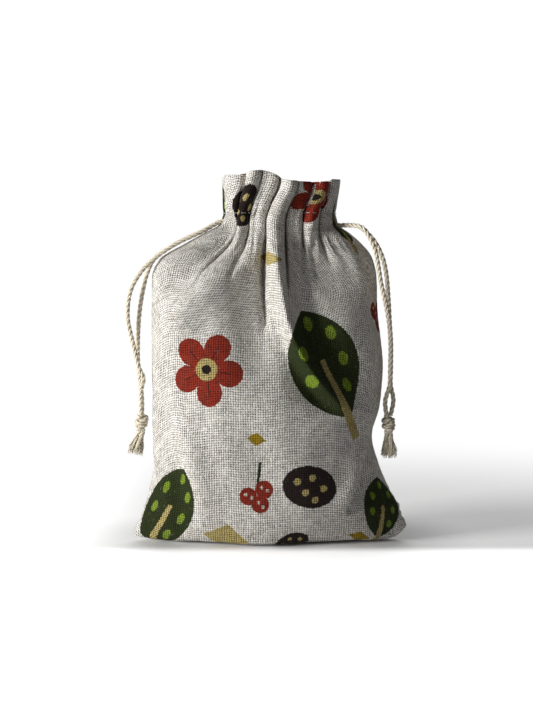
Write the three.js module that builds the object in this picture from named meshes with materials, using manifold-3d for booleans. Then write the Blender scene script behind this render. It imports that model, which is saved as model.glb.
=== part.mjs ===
// A small drawstring pouch of coarse linen cloth, standing filled out with its neck drawn in.
// The cloth is one piece, folded at the bottom and sewn up both sides, with its top turned down
// inside to make a frill and, below it, a channel all round the neck. Two cords run round that
// channel. Each goes in and out at its own side seam, and its two ends are tied together.
// Millimetres, +Z up, front towards -Y, origin on the ground at the middle of the cloth's box.

import * as THREE from 'three';
import { mergeVertices } from 'three/addons/utils/BufferGeometryUtils.js';
import Module from 'manifold-3d';

const wasm = await Module();
wasm.setup();

// Heights above the ground.
const shoulderHeight = 124;
const channelHeight = 144;
const frillHeight = 21;

// How far the cloth reaches to each side of the middle, at the corners, the sides, the cords and the top.
const cornerReach = 62.6;
const leftSideReach = 53.8;
const rightSideReach = 51.6;
const leftNeckReach = 21.6;
const rightNeckReach = 29.4;
const leftFrillReach = 20.4;
const rightFrillReach = 30.6;

// Half of the depth from front to back, at the ground, the bottom edge, the belly, the cords and the top.
const footDepth = 8;
const edgeDepth = 18.5;
const bellyDepth = 28;
const neckDepth = 11.5;
const frillDepth = 13;

// The flat place that the pouch stands on, and the height of the rounded edge round it.
const footReach = 42;
const cornerHeight = 3;

// The cloth and its seams. Near the ground the side edges are pinched to thin ears, whose tips are
// solid. Towards the neck the side seams turn a little way round from the sides.
const wall = 1.4;
const earThinness = 0.85;
const earHeight = 32;
const cornerSolid = 8;
const seamTurnRight = 5;
const seamTurnLeft = 4;

// The turned-down hem that lines the cloth round the channel: half its height, and where it ends.
const hemHalf = 5;
const hemEnd = 9;

// How a fold and the lifts of the bottom edge fade out: a fold at a seam, a lift up the cloth.
const foldAtSeam = 0.35;
const liftFade = 9;

// The cords, the channel that holds them side by side, and the slits where they come out.
const cordDiameter = 2.2;
const clearance = 0.3;
const knotWidth = 5.6;
const knotHeight = 7.4;
const tailLength = 9.5;
const tailFlare = 1.35;

// How finely the shapes are cut into flat faces.
const skinSteps = 6;
const cavitySteps = 4;
const channelColumns = 56;
const channelTurns = 32;
const sectionSamples = 240;
const cordSides = 8;
const cordSteps = 72;
const knotSides = 10;
const knotRows = 8;

const topHeight = channelHeight + frillHeight;
const channelWidth = cordDiameter + 3 * clearance;
const channelTall = 2 * cordDiameter + 3 * clearance;
const channelInset = wall + channelWidth / 2;
const channelLining = 2 * wall + channelWidth;

const mix = (a, b, t) => a + (b - a) * t;
const clamp = (t) => Math.min(1, Math.max(0, t));
const smooth = (from, to, x) => {
  const t = clamp((x - from) / (to - from));
  return t * t * (3 - 2 * t);
};
const degrees = (d) => (d * Math.PI) / 180;

// The outline from the ground up: how far it reaches left and right, and its half depth.
const outline = [
  { z: 0, left: footReach, right: footReach, depth: footDepth },
  {
    z: cornerHeight / 3,
    left: mix(footReach, cornerReach, 0.9),
    right: mix(footReach, cornerReach, 0.85),
    depth: mix(footDepth, edgeDepth, 0.85),
  },
  { z: cornerHeight, left: cornerReach, right: cornerReach, depth: edgeDepth },
  {
    z: shoulderHeight * 0.06,
    left: mix(leftSideReach, cornerReach, 0.85),
    right: mix(rightSideReach, cornerReach, 0.95),
    depth: mix(edgeDepth, bellyDepth, 0.26),
  },
  {
    z: shoulderHeight * 0.12,
    left: mix(leftSideReach, cornerReach, 0.55),
    right: mix(rightSideReach, cornerReach, 0.78),
    depth: mix(edgeDepth, bellyDepth, 0.5),
  },
  {
    z: shoulderHeight * 0.2,
    left: mix(leftSideReach, cornerReach, 0.2),
    right: mix(rightSideReach, cornerReach, 0.28),
    depth: mix(edgeDepth, bellyDepth, 0.73),
  },
  {
    z: shoulderHeight * 0.29,
    left: mix(leftSideReach, cornerReach, -0.03),
    right: mix(rightSideReach, cornerReach, -0.16),
    depth: mix(edgeDepth, bellyDepth, 0.88),
  },
  {
    z: shoulderHeight * 0.38,
    left: leftSideReach,
    right: mix(rightSideReach, cornerReach, -0.42),
    depth: mix(edgeDepth, bellyDepth, 0.96),
  },
  {
    z: shoulderHeight * 0.52,
    left: leftSideReach,
    right: mix(rightSideReach, cornerReach, -0.1),
    depth: bellyDepth,
  },
  {
    z: shoulderHeight * 0.66,
    left: leftSideReach,
    right: rightSideReach,
    depth: mix(neckDepth, bellyDepth, 0.97),
  },
  {
    z: shoulderHeight * 0.86,
    left: leftSideReach,
    right: mix(rightNeckReach, rightSideReach, 0.88),
    depth: mix(neckDepth, bellyDepth, 0.85),
  },
  {
    z: shoulderHeight * 0.97,
    left: leftSideReach,
    right: mix(rightNeckReach, rightSideReach, 0.85),
    depth: mix(neckDepth, bellyDepth, 0.68),
  },
  {
    z: mix(shoulderHeight, channelHeight, 0.2),
    left: mix(leftNeckReach, leftSideReach, 0.9),
    right: mix(rightNeckReach, rightSideReach, 0.77),
    depth: mix(neckDepth, bellyDepth, 0.53),
  },
  {
    z: mix(shoulderHeight, channelHeight, 0.52),
    left: mix(leftNeckReach, leftSideReach, 0.59),
    right: mix(rightNeckReach, rightSideReach, 0.58),
    depth: mix(neckDepth, bellyDepth, 0.32),
  },
  {
    z: mix(shoulderHeight, channelHeight, 0.78),
    left: mix(leftNeckReach, leftSideReach, 0.27),
    right: mix(rightNeckReach, rightSideReach, 0.28),
    depth: mix(neckDepth, bellyDepth, 0.14),
  },
  { z: channelHeight, left: leftNeckReach, right: rightNeckReach, depth: neckDepth },
  {
    z: mix(channelHeight, topHeight, 0.22),
    left: mix(leftNeckReach, leftFrillReach, 1.2),
    right: mix(rightNeckReach, rightFrillReach, -0.6),
    depth: neckDepth,
  },
  { z: topHeight, left: leftFrillReach, right: rightFrillReach, depth: frillDepth },
];

// A value of the outline at a height: a smooth curve through its points that doesn't overshoot them.
const slopes = {};
for (const key of ['left', 'right', 'depth']) {
  const steps = outline.slice(1).map((p, i) => (p[key] - outline[i][key]) / (p.z - outline[i].z));
  slopes[key] = outline.map((p, i) => {
    const before = steps[Math.max(i - 1, 0)];
    const after = steps[Math.min(i, steps.length - 1)];
    return before * after <= 0 ? 0 : (2 * before * after) / (before + after);
  });
}
function reachAt(key, z) {
  let i = 0;
  while (i < outline.length - 2 && z > outline[i + 1].z) i++;
  const [low, high] = [outline[i], outline[i + 1]];
  const span = high.z - low.z;
  const t = clamp((z - low.z) / span);
  const rest = 1 - t;
  return (
    low[key] * (1 + 2 * t) * rest * rest +
    high[key] * (1 + 2 * rest) * t * t +
    slopes[key][i] * span * t * rest * rest -
    slopes[key][i + 1] * span * rest * t * t
  );
}

// One level of the cloth without its folds: a closed line whose ends are thin near the ground,
// where the two bottom corners stand out like ears, and round higher up. Its points are even
// along the front from the left seam to the right one, and even along the back.
function level(z, inset = 0, ends = inset) {
  const left = reachAt('left', z) - ends;
  const right = reachAt('right', z) - ends;
  const depth = reachAt('depth', z) - inset;
  const pinch = 1 + earThinness * Math.exp(-z / earHeight);
  const turned = smooth(shoulderHeight * 0.7, shoulderHeight * 1.02, z);
  const first = degrees(seamTurnLeft) * turned;
  const last = Math.PI - degrees(seamTurnRight) * turned;
  const at = (angle) => {
    const sine = Math.sin(angle);
    return new THREE.Vector2(
      (right - left) / 2 - ((right + left) / 2) * Math.cos(angle),
      -depth * Math.sign(sine) * Math.abs(sine) ** pinch,
    );
  };
  const half = (from, to) => {
    const points = [];
    for (let i = 0; i <= sectionSamples; i++) points.push(at(mix(from, to, i / sectionSamples)));
    const lengths = [0];
    for (let i = 1; i < points.length; i++) {
      lengths.push(lengths[i - 1] + points[i].distanceTo(points[i - 1]));
    }
    return { points, lengths };
  };
  return { front: half(first, last), back: half(last, 2 * Math.PI + first) };
}

// The point of a level at a share of the way round: 0 at the left seam, 0.5 at the right one.
function pointOn(ring, around) {
  const share = around - Math.floor(around);
  const { points, lengths } = share < 0.5 ? ring.front : ring.back;
  const target = lengths[lengths.length - 1] * ((2 * share) % 1);
  let i = 1;
  while (i < lengths.length - 1 && lengths[i] < target) i++;
  const t = (target - lengths[i - 1]) / (lengths[i] - lengths[i - 1]);
  const along = points[i].clone().sub(points[i - 1]).normalize();
  return {
    place: points[i - 1].clone().lerp(points[i], t),
    outward: new THREE.Vector2(-along.y, along.x).negate(),
  };
}

// The share of the way round at which the front or the back of a level passes a given x.
function shareAt(ring, x, isFront) {
  const { points, lengths } = isFront ? ring.front : ring.back;
  const sign = isFront ? 1 : -1;
  let i = 1;
  while (i < points.length - 1 && sign * points[i].x < sign * x) i++;
  const [a, b] = [points[i - 1], points[i]];
  const t = clamp((x - a.x) / (b.x - a.x || 1));
  const along = mix(lengths[i - 1], lengths[i], t) / lengths[lengths.length - 1];
  return (isFront ? 0 : 0.5) + along / 2;
}

// The gathers: where the ridge of each one is at the top edge, at the cords and well below them,
// how far it stands out, and how far down it reaches. x is measured from the middle of the pouch.
const frontGathers = [
  { top: -16.4, neck: -17, low: -36, size: 2.8, reach: 13 },
  { top: -6.5, neck: -13, low: -22, size: 4.2, reach: 15 },
  { top: 1, neck: -7.2, low: -11, size: 4.2, reach: 24 },
  { top: 9.6, neck: 3.2, low: 3.6, size: 5, reach: 26 },
  { top: 14.8, neck: 11.2, low: 13, size: 3.8, reach: 20 },
  { top: 21.2, neck: 17.2, low: 23, size: 3.9, reach: 20 },
  { top: 27.6, neck: 23.6, low: 36, size: 3, reach: 14 },
];
const backGathers = [
  { top: 24, neck: 22, low: 36, size: 3.4, reach: 16 },
  { top: 17, neck: 15, low: 23, size: 4.4, reach: 22 },
  { top: 9.6, neck: 8.4, low: 12, size: 3.8, reach: 16 },
  { top: 2.8, neck: 1.6, low: 1, size: 4.8, reach: 26 },
  { top: -4, neck: -5.2, low: -11, size: 3.8, reach: 18 },
  { top: -10.4, neck: -11, low: -22, size: 3.8, reach: 20 },
  { top: -16.4, neck: -16.6, low: -35, size: 2.8, reach: 14 },
];
const lowGatherHeight = shoulderHeight - 6;

// The columns of the cloth run up it from the bottom edge to the top one. Each side seam and each
// ridge is a column, with as many more between two of them, so a crease always has one too.
function columnsAt(z, perGather, inset = 0) {
  const ring = level(z, inset);
  const up = smooth(channelHeight, topHeight, z);
  const down = smooth(channelHeight, lowGatherHeight, z);
  const marks = [];
  for (const isFront of [true, false]) {
    marks.push({ around: isFront ? 0 : 0.5, size: 0, seam: true });
    for (const { top, neck, low, size, reach } of isFront ? frontGathers : backGathers) {
      const x = neck + (top - neck) * up + (low - neck) * down;
      const fade = Math.exp(-((Math.max(0, channelHeight - z) / reach) ** 2));
      marks.push({ around: shareAt(ring, x, isFront), size: size * fade });
    }
  }
  marks.push({ around: 1, size: 0, seam: true });
  const columns = [];
  for (let k = 1; k < marks.length; k++) {
    const [before, after] = [marks[k - 1], marks[k]];
    for (let j = 0; j < perGather; j++) {
      const t = j / perGather;
      const turn = before.seam ? (1 + t) / 2 : after.seam ? t / 2 : t;
      const bulge = Math.abs(Math.cos(Math.PI * turn));
      const size = mix(before.seam ? after.size : before.size, after.seam ? before.size : after.size, t);
      columns.push({
        around: mix(before.around, after.around, t),
        isFront: before.around < 0.5,
        gather: size * bulge,
        seamless: smooth(0, 1, before.seam ? t : after.seam ? 1 - t : 1),
      });
    }
  }
  return columns;
}

// The folds of the body: lines over its front or back, in x and z, with the height that each
// stands out, or goes in where it is negative, and its half width.
const folds = [
  { front: true, height: -3.6, width: 3.6, line: [[-1.6, 135], [-1.2, 114], [2.6, 92]] },
  { front: true, height: 3.4, width: 4.6, line: [[3.2, 132], [3, 120], [8, 92], [15, 60]] },
  { front: true, height: 2.4, width: 5, line: [[-5.5, 134], [-8, 120], [-20, 104], [-34, 97]] },
  { front: true, height: -2.6, width: 9, line: [[-10, 104], [-14, 90], [-16, 78]] },
  { front: true, height: -2.4, width: 5.5, line: [[-12, 136], [-22, 126], [-34, 117], [-46, 111]] },
  { front: true, height: -2.8, width: 5.5, line: [[11, 132], [13.5, 116], [18, 100]] },
  { front: true, height: -1.4, width: 5, line: [[25, 129], [34, 110]] },
  { front: true, height: -1.8, width: 3, line: [[33, 137], [43, 112], [47.5, 84]] },
  { front: true, height: -2.4, width: 4.4, line: [[-53, 69], [-50, 61], [-48.5, 55], [-52, 47]] },
  { front: true, height: 2, width: 6, line: [[-35.5, 50], [-30, 32], [-26, 14]] },
  { front: true, height: -4.4, width: 4.4, line: [[52, 64], [48.5, 50], [44.5, 38], [41, 26], [38, 19]] },
  { front: false, height: 2.6, width: 5, line: [[2, 134], [0, 116], [-8, 92], [-14, 70]] },
  { front: false, height: -3, width: 5, line: [[-6, 134], [-9, 116], [-18, 98]] },
  { front: false, height: -2.6, width: 5.5, line: [[12, 134], [18, 118], [30, 106]] },
  { front: false, height: -3, width: 5, line: [[-50, 60], [-45, 46], [-40, 30]] },
  { front: false, height: 2, width: 6.5, line: [[30, 54], [27, 34], [22, 16]] },
];
function foldAt(x, z, isFront) {
  let out = 0;
  for (const { front, height, width, line } of folds) {
    if (front !== isFront) continue;
    let nearest = Infinity;
    let along = 0;
    for (let i = 1; i < line.length; i++) {
      const [ax, az] = line[i - 1];
      const [dx, dz] = [line[i][0] - ax, line[i][1] - az];
      const t = clamp(((x - ax) * dx + (z - az) * dz) / (dx * dx + dz * dz));
      const far = Math.hypot(x - ax - t * dx, z - az - t * dz);
      if (far < nearest) [nearest, along] = [far, (i - 1 + t) / (line.length - 1)];
    }
    const fade = 0.25 + 0.75 * Math.sin(Math.PI * (0.12 + 0.8 * along));
    out += height * fade * Math.exp(-((nearest / width) ** 2));
  }
  return out;
}

// How far the bottom edge is lifted off the ground, at x along the front or the back.
function liftAt(x, isFront) {
  const side = isFront ? 1 : -1;
  return (
    1.3 * Math.exp(-(((x + side * 28) / 12) ** 4)) +
    2.4 * Math.exp(-(((x - side * 23) / 18) ** 4)) +
    3.4 * Math.max(0, (x - cornerReach + 10) / 10) ** 2
  );
}

// The wavy top edge: how much higher than the plain one it is, fading out towards the channel.
function crestAt(x, isFront, z) {
  const peak = isFront ? -3 : 12;
  const slant = isFront ? -0.05 : -0.02;
  const rise = slant * (x - 4) + 2.6 * Math.exp(-(((x - peak) / 6) ** 2)) - 0.8;
  return rise * smooth(channelHeight + 4, topHeight, z);
}

// A ring of points of the cloth's outer face at one height.
function skinRing(z) {
  const ring = level(z);
  const onEdge = Math.exp(-Math.max(0, z - cornerHeight) / liftFade) * smooth(0, cornerHeight / 2, z);
  return columnsAt(z, skinSteps).map(({ around, isFront, gather, seamless }) => {
    const { place, outward } = pointOn(ring, around);
    const out = gather + foldAt(place.x, z, isFront) * mix(foldAtSeam, 1, seamless);
    const lift = liftAt(place.x, isFront) * onEdge + crestAt(place.x, isFront, z);
    place.addScaledVector(outward, z > 0 ? out : 0);
    return new THREE.Vector3(place.x, place.y, z + lift);
  });
}

// A ring of points of the hollow inside: it follows the skin at the cloth's own thickness, and
// round the channel it keeps clear of the two layers that hold the cords.
function cavityRing(z, above = 0) {
  const lining = smooth(hemEnd, hemHalf, Math.abs(z - channelHeight));
  const inset = mix(wall, channelLining, lining);
  const ring = level(z, inset, inset + cornerSolid * Math.exp(-((z / earHeight) ** 2)));
  const onEdge = Math.exp(-Math.max(0, z - cornerHeight) / liftFade);
  return columnsAt(z, cavitySteps, wall).map(({ around, isFront, gather, seamless }) => {
    const { place, outward } = pointOn(ring, around);
    const fold = foldAt(place.x, z, isFront);
    const followed = fold < 0 ? fold * mix(foldAtSeam, 1, seamless) : fold * 0.5 * seamless;
    const lift = liftAt(place.x, isFront) * onEdge + crestAt(place.x, isFront, z);
    place.addScaledVector(outward, gather * (1 - lining) + followed);
    return new THREE.Vector3(place.x, place.y, z + lift + above);
  });
}

// A closed solid through a stack of rings, shut at each end by a fan to the middle of the ring.
function loft(rings, isLoop = false) {
  const columns = rings[0].length;
  const vertices = rings.flat();
  const triangles = [];
  const last = isLoop ? rings.length : rings.length - 1;
  for (let r = 0; r < last; r++) {
    const low = r * columns;
    const high = ((r + 1) % rings.length) * columns;
    for (let i = 0; i < columns; i++) {
      const next = (i + 1) % columns;
      triangles.push(low + i, low + next, high + next, low + i, high + next, high + i);
    }
  }
  if (!isLoop) {
    for (const [ring, start, isTop] of [[rings[0], 0, false], [rings.at(-1), last * columns, true]]) {
      const middle = ring.reduce((sum, p) => sum.add(p), new THREE.Vector3()).divideScalar(columns);
      const centre = vertices.push(middle) - 1;
      for (let i = 0; i < columns; i++) {
        const next = (i + 1) % columns;
        triangles.push(centre, start + (isTop ? i : next), start + (isTop ? next : i));
      }
    }
  }
  const geometry = new THREE.BufferGeometry().setFromPoints(vertices);
  geometry.setIndex(triangles);
  return geometry;
}

// three.js geometry to a manifold-3d solid, and back.
function solidFrom(geometry) {
  const bare = geometry.index ? geometry.toNonIndexed() : geometry.clone();
  bare.deleteAttribute('normal');
  bare.deleteAttribute('uv');
  const merged = mergeVertices(bare, 1e-4);
  return new wasm.Manifold(
    new wasm.Mesh({
      numProp: 3,
      vertProperties: merged.attributes.position.array,
      triVerts: new Uint32Array(merged.index.array),
    }),
  );
}
function geometryFrom(solid) {
  const { vertProperties, triVerts } = solid.getMesh();
  const geometry = new THREE.BufferGeometry();
  geometry.setAttribute('position', new THREE.BufferAttribute(vertProperties, 3));
  geometry.setIndex(new THREE.BufferAttribute(triVerts, 1));
  geometry.computeVertexNormals();
  return geometry;
}

// The heights at which the cloth is cut into rings: close together where it is gathered.
const frillShares = [0.24, 0.49, 0.75, 1];
const skinHeights = [
  0,
  cornerHeight / 3,
  cornerHeight,
  ...[0.06, 0.12, 0.2, 0.29, 0.38, 0.47, 0.56, 0.66, 0.76, 0.86, 0.93, 1].map((t) => shoulderHeight * t),
  ...[0.2, 0.4, 0.6, 0.8, 1].map((t) => mix(shoulderHeight, channelHeight, t)),
  ...frillShares.map((t) => mix(channelHeight, topHeight, t)),
];
const cavityHeights = [
  cornerHeight + wall,
  ...[0.12, 0.2, 0.29, 0.38, 0.52, 0.66, 0.8, 0.93].map((t) => shoulderHeight * t),
  ...[0.2, 0.5].map((t) => mix(shoulderHeight, channelHeight, t)),
  channelHeight - hemHalf,
  channelHeight,
  ...frillShares.map((t) => mix(channelHeight, topHeight, t)),
];
const mouthRise = 6;

// The channel: a tunnel all round the neck, between the outer cloth and the turned-down hem.
const channelLine = level(channelHeight, channelInset);
function channelPoint(around, rise = 0) {
  const { place } = pointOn(channelLine, around);
  return new THREE.Vector3(place.x, place.y, channelHeight + rise);
}
const channelSection = [
  [1, 0.6], [1, -0.6], [0.6, -1], [-0.6, -1], [-1, -0.6], [-1, 0.6], [-0.6, 1], [0.6, 1],
];
function channelTunnel() {
  const rings = [];
  for (let i = 0; i < channelColumns; i++) {
    const around = i / channelColumns;
    const { outward } = pointOn(channelLine, around);
    const ring = [];
    for (const [across, up] of channelSection) {
      const point = channelPoint(around, (up * channelTall) / 2);
      point.x += (outward.x * across * channelWidth) / 2;
      point.y += (outward.y * across * channelWidth) / 2;
      ring.push(point);
    }
    rings.push(ring);
  }
  return solidFrom(loft(rings, true));
}

// A slit at a side seam, where the two ends of a cord come out of the channel side by side.
const seams = { left: 0, right: 0.5 };
// It is cut as far out as slitReach, so that it goes through the thickest gather at the seam.
const exitGap = cordDiameter / 2 + 1.5 * clearance;
const slitWidth = 2 * exitGap + 2 * cordDiameter + 3 * clearance;
const slitReach = channelInset + 6;
function exitPoint(side, beyond, along, rise) {
  const { place, outward } = pointOn(channelLine, seams[side]);
  return new THREE.Vector3(
    place.x + outward.x * beyond - outward.y * along,
    place.y + outward.y * beyond + outward.x * along,
    channelHeight + rise,
  );
}
function slit(side) {
  const { outward } = pointOn(channelLine, seams[side]);
  const box = new THREE.BoxGeometry(slitReach, slitWidth, channelTall);
  box.rotateZ(Math.atan2(outward.y, outward.x));
  box.translate(...exitPoint(side, (slitReach - channelWidth) / 2, 0, 0));
  return solidFrom(box);
}

function pouchCloth() {
  const skin = solidFrom(loft(skinHeights.map((z) => skinRing(z))));
  const rings = cavityHeights.map((z) => cavityRing(z));
  const hollow = solidFrom(loft([...rings, cavityRing(topHeight, mouthRise)]));
  return geometryFrom(
    skin.subtract(hollow).subtract(channelTunnel()).subtract(slit('left')).subtract(slit('right')),
  );
}

// The free ends of the cords, from the slit down to the knot. Each point has its drop below the
// channel, how far it is beyond the cloth's side at that height, and its y.
const legs = {
  left: {
    front: [
      [3.6, 3.9, -5.6], [9.6, 4.8, -6.4], [16, 2.6, -6.6], [21.4, 4.6, -6.6], [30, 8.8, -6.2],
      [42, 10.2, -5.8], [54, 7.8, -5.4], [65, 5.2, -5.2], [69.4, 3.4, -5], [74.4, 4.4, -4.8],
      [81, 4.6, -4.6], [86.2, 4.7, -4.2],
    ],
    back: [
      [2.6, 4.6, -1.4], [8.4, 5.4, -1.6], [15.4, 2.6, -1.8], [22, 1.9, -2.2], [30, 3.6, -2.4],
      [40, 5.2, -2.6], [52, 6, -2.4], [64, 6, -2.2], [72, 5, -2], [80, 4.4, -1.8], [86, 4.5, -1.4],
    ],
  },
  right: {
    front: [
      [1.6, 9.6, -10.6], [5.8, 6.4, -11.4], [11.6, 2.6, -11.2], [18.4, 0.8, -10.6], [26, 0.9, -10],
      [34, 2.5, -9.4], [44, 3.6, -8.8], [54, 3, -8.4], [65, 2.8, -8.2], [72.4, 3.4, -8],
      [79.4, 2.2, -8.2], [86.6, 4.9, -8.2],
    ],
    back: [
      [1.2, 9.4, -6], [3.4, 8.6, -6.4], [8, 6.2, -6.6], [14.8, 4.2, -6.4], [22, 3.9, -6.2],
      [32, 4.3, -6], [44, 4.1, -5.6], [54, 3.4, -5.4], [65, 3.2, -5.2], [72.4, 3.9, -5],
      [79.4, 6.2, -5.2], [86.4, 6.8, -5.4],
    ],
  },
};
function legPoints(side, which) {
  const sign = side === 'left' ? -1 : 1;
  return legs[side][which].map(([down, out, y]) => {
    const z = channelHeight - down;
    return new THREE.Vector3(sign * (reachAt(side, z) + out), y, z);
  });
}

// The whole route of a cord: up one leg, right round the channel and down the other leg.
function cordRoute(side) {
  const start = seams[side];
  const sign = side === 'left' ? 1 : -1;
  const rise = (sign * (cordDiameter + clearance)) / 2;
  const round = [];
  for (let i = 0; i <= channelTurns; i++) {
    const t = mix(0.06, 0.94, i / channelTurns);
    round.push(channelPoint(start + sign * t, rise));
  }
  return new THREE.CatmullRomCurve3(
    [
      ...legPoints(side, 'front').reverse(),
      exitPoint(side, slitReach / 2, sign * exitGap, rise * 0.6),
      exitPoint(side, cordDiameter, sign * exitGap, rise),
      ...round,
      exitPoint(side, cordDiameter, -sign * exitGap, rise),
      exitPoint(side, slitReach / 2, -sign * exitGap, rise * 0.6),
      ...legPoints(side, 'back'),
    ],
    false,
    'centripetal',
  );
}
function cordTube(side) {
  const section = new THREE.Shape();
  section.absarc(0, 0, cordDiameter / 2, 0, 2 * Math.PI, false);
  return new THREE.ExtrudeGeometry(section, {
    curveSegments: cordSides / 2,
    steps: cordSteps,
    bevelEnabled: false,
    extrudePath: cordRoute(side),
  });
}

// The knot that ties a cord's two ends together: an egg shape with two turns round it.
function knotBody() {
  const profile = [new THREE.Vector2(0, -knotHeight / 2)];
  for (let i = 1; i < knotRows; i++) {
    const angle = (Math.PI * i) / knotRows;
    const turns = 1 - 0.1 * Math.cos(4 * angle);
    profile.push(
      new THREE.Vector2((knotWidth / 2) * Math.sin(angle) * turns, (-knotHeight / 2) * Math.cos(angle)),
    );
  }
  profile.push(new THREE.Vector2(0, knotHeight / 2));
  return new THREE.LatheGeometry(profile, knotSides).rotateX(Math.PI / 2);
}

// A loose end below the knot: it widens where its yarns open out.
function looseEnd() {
  const radius = cordDiameter / 2;
  const profile = [
    new THREE.Vector2(0, -tailLength),
    new THREE.Vector2(radius * tailFlare, -tailLength + 0.5),
    new THREE.Vector2(radius * 1.1, -tailLength / 2),
    new THREE.Vector2(radius * 0.9, knotHeight / 2),
    new THREE.Vector2(0, knotHeight / 2),
  ];
  return new THREE.LatheGeometry(profile, cordSides).rotateX(Math.PI / 2);
}

// How each knot hangs, and how its two loose ends lean: to the side and forwards, in degrees.
const knots = {
  left: { lean: 9, ends: [{ lean: 22, out: 6 }, { lean: 8, out: -7 }] },
  right: { lean: -3, ends: [{ lean: 8, out: 7 }, { lean: -8, out: -6 }] },
};
function cord(side) {
  const { lean, ends } = knots[side];
  const place = legPoints(side, 'front').at(-1).lerp(legPoints(side, 'back').at(-1), 0.5);
  place.z -= knotHeight / 2 - cordDiameter / 2;
  const hang = (geometry) => geometry.rotateY(degrees(lean)).translate(...place);
  let whole = solidFrom(cordTube(side)).add(solidFrom(hang(knotBody())));
  ends.forEach((end, i) => {
    const geometry = looseEnd().translate(0, 0, -knotHeight / 2);
    geometry.rotateX(degrees(end.out)).rotateY(degrees(end.lean - lean));
    geometry.translate((i === 0 ? -0.25 : 0.25) * knotWidth, 0, 0);
    whole = whole.add(solidFrom(hang(geometry)));
  });
  return geometryFrom(whole);
}

const linen = { color: 0xc9c3b8, roughness: 0.95, metalness: 0 };
const cotton = { color: 0xd8cfb8, roughness: 0.9, metalness: 0 };
const pouch = new THREE.Group();
function add(name, geometry, finish) {
  const mesh = new THREE.Mesh(geometry, new THREE.MeshStandardMaterial(finish));
  mesh.name = name;
  pouch.add(mesh);
  return mesh;
}
const cloth = add('pouch_cloth', pouchCloth(), linen);
add('left_cord', cord('left'), cotton);
add('right_cord', cord('right'), cotton);

// The origin: on the ground, in the middle of the cloth's box.
const box = new THREE.Box3().setFromObject(cloth);
const middle = box.getCenter(new THREE.Vector3());
for (const piece of pouch.children) {
  piece.position.x -= middle.x;
  piece.position.y -= middle.y;
  piece.position.z -= box.min.z;
}

export default pouch;
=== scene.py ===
# %% [markdown]
# # A drawstring pouch of printed linen
#
# This lesson dresses a small kinchaku pouch: a bag of coarse linen that stands filled out, with its
# neck drawn in by two cotton cords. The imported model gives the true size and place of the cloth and
# of the cords. Here the cloth gets its fine gathers, seams, stitches and weave, and the cords their
# twist, their knots and their frayed ends.

# %% Load the model
import math
import random

import bpy
import numpy as np
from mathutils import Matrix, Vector


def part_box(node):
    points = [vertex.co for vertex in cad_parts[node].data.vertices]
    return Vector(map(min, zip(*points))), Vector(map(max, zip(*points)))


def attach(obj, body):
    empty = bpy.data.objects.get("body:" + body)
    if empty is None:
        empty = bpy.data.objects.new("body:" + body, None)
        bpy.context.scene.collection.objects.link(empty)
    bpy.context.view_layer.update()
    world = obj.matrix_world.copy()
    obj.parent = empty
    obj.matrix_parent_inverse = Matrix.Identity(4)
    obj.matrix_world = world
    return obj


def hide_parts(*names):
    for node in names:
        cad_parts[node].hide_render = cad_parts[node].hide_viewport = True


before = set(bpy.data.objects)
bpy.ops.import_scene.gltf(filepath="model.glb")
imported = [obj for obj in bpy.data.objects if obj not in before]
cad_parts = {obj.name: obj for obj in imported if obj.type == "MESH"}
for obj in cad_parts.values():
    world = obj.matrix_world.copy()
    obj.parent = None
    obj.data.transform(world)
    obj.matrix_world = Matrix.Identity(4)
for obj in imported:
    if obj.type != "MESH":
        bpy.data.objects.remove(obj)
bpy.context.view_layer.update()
cloth_low, cloth_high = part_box("pouch_cloth")
print("nodes:", sorted(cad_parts))
print("cloth box in mm:", [round(v * 1000, 1) for v in (*cloth_low, *cloth_high)])

# %% [markdown]
# ## The camera
#
# The picture is taken from straight in front and a little above the table. A camera on a level 65 cm
# away with a lens of about 72 mm shows the pouch as the eye sees it across a table. The lens is
# worked out from how tall a slice of the world the picture shows at the pouch's distance.

# %% Place the camera
picture_height = 0.3235
camera_distance = 0.65
camera_elevation = math.radians(4.7)
aim = Vector((-0.0016, 0, 0.0844))
photo_camera = bpy.data.objects.new("photo_camera", bpy.data.cameras.new("photo_camera"))
photo_camera.data.sensor_fit = "VERTICAL"
photo_camera.data.sensor_height = 36
photo_camera.data.lens = 36 * camera_distance / picture_height
photo_camera.location = aim + camera_distance * Vector(
    (0, -math.cos(camera_elevation), math.sin(camera_elevation))
)
photo_camera.rotation_euler = (math.pi / 2 - camera_elevation, 0, 0)
bpy.context.scene.collection.objects.link(photo_camera)
bpy.context.scene.camera = photo_camera
print("lens:", round(photo_camera.data.lens, 1), "mm")

# %% [markdown]
# ## The sizes of the pouch
#
# All shaping is done in millimetres, with the same sizes and the same outline as the solid model:
# how far the cloth reaches to the left and to the right at each height, and half of its depth. A
# smooth curve runs through those values without overshooting them.

# %% Sizes and outline
shoulder_height = 124
channel_height = 144
top_height = 165
corner_reach = 62.6
left_side, right_side = 53.8, 51.6
left_neck, right_neck = 21.6, 29.4
left_frill, right_frill = 20.4, 30.6
foot_reach, foot_depth = 42, 8
edge_depth, belly_depth = 18.5, 28
neck_depth, frill_depth = 11.5, 13
corner_height = 3
ear_thinness, ear_height = 0.85, 32
cord_width = 2.2
clearance = 0.3
wall = 1.4


def mix(a, b, t):
    return a + (b - a) * t


def smooth(start, end, x):
    t = np.clip((np.asarray(x, float) - start) / (end - start), 0, 1)
    return t * t * (3 - 2 * t)


def bump(x, middle, width):
    return np.exp(-(((np.asarray(x, float) - middle) / width) ** 2))


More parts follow.
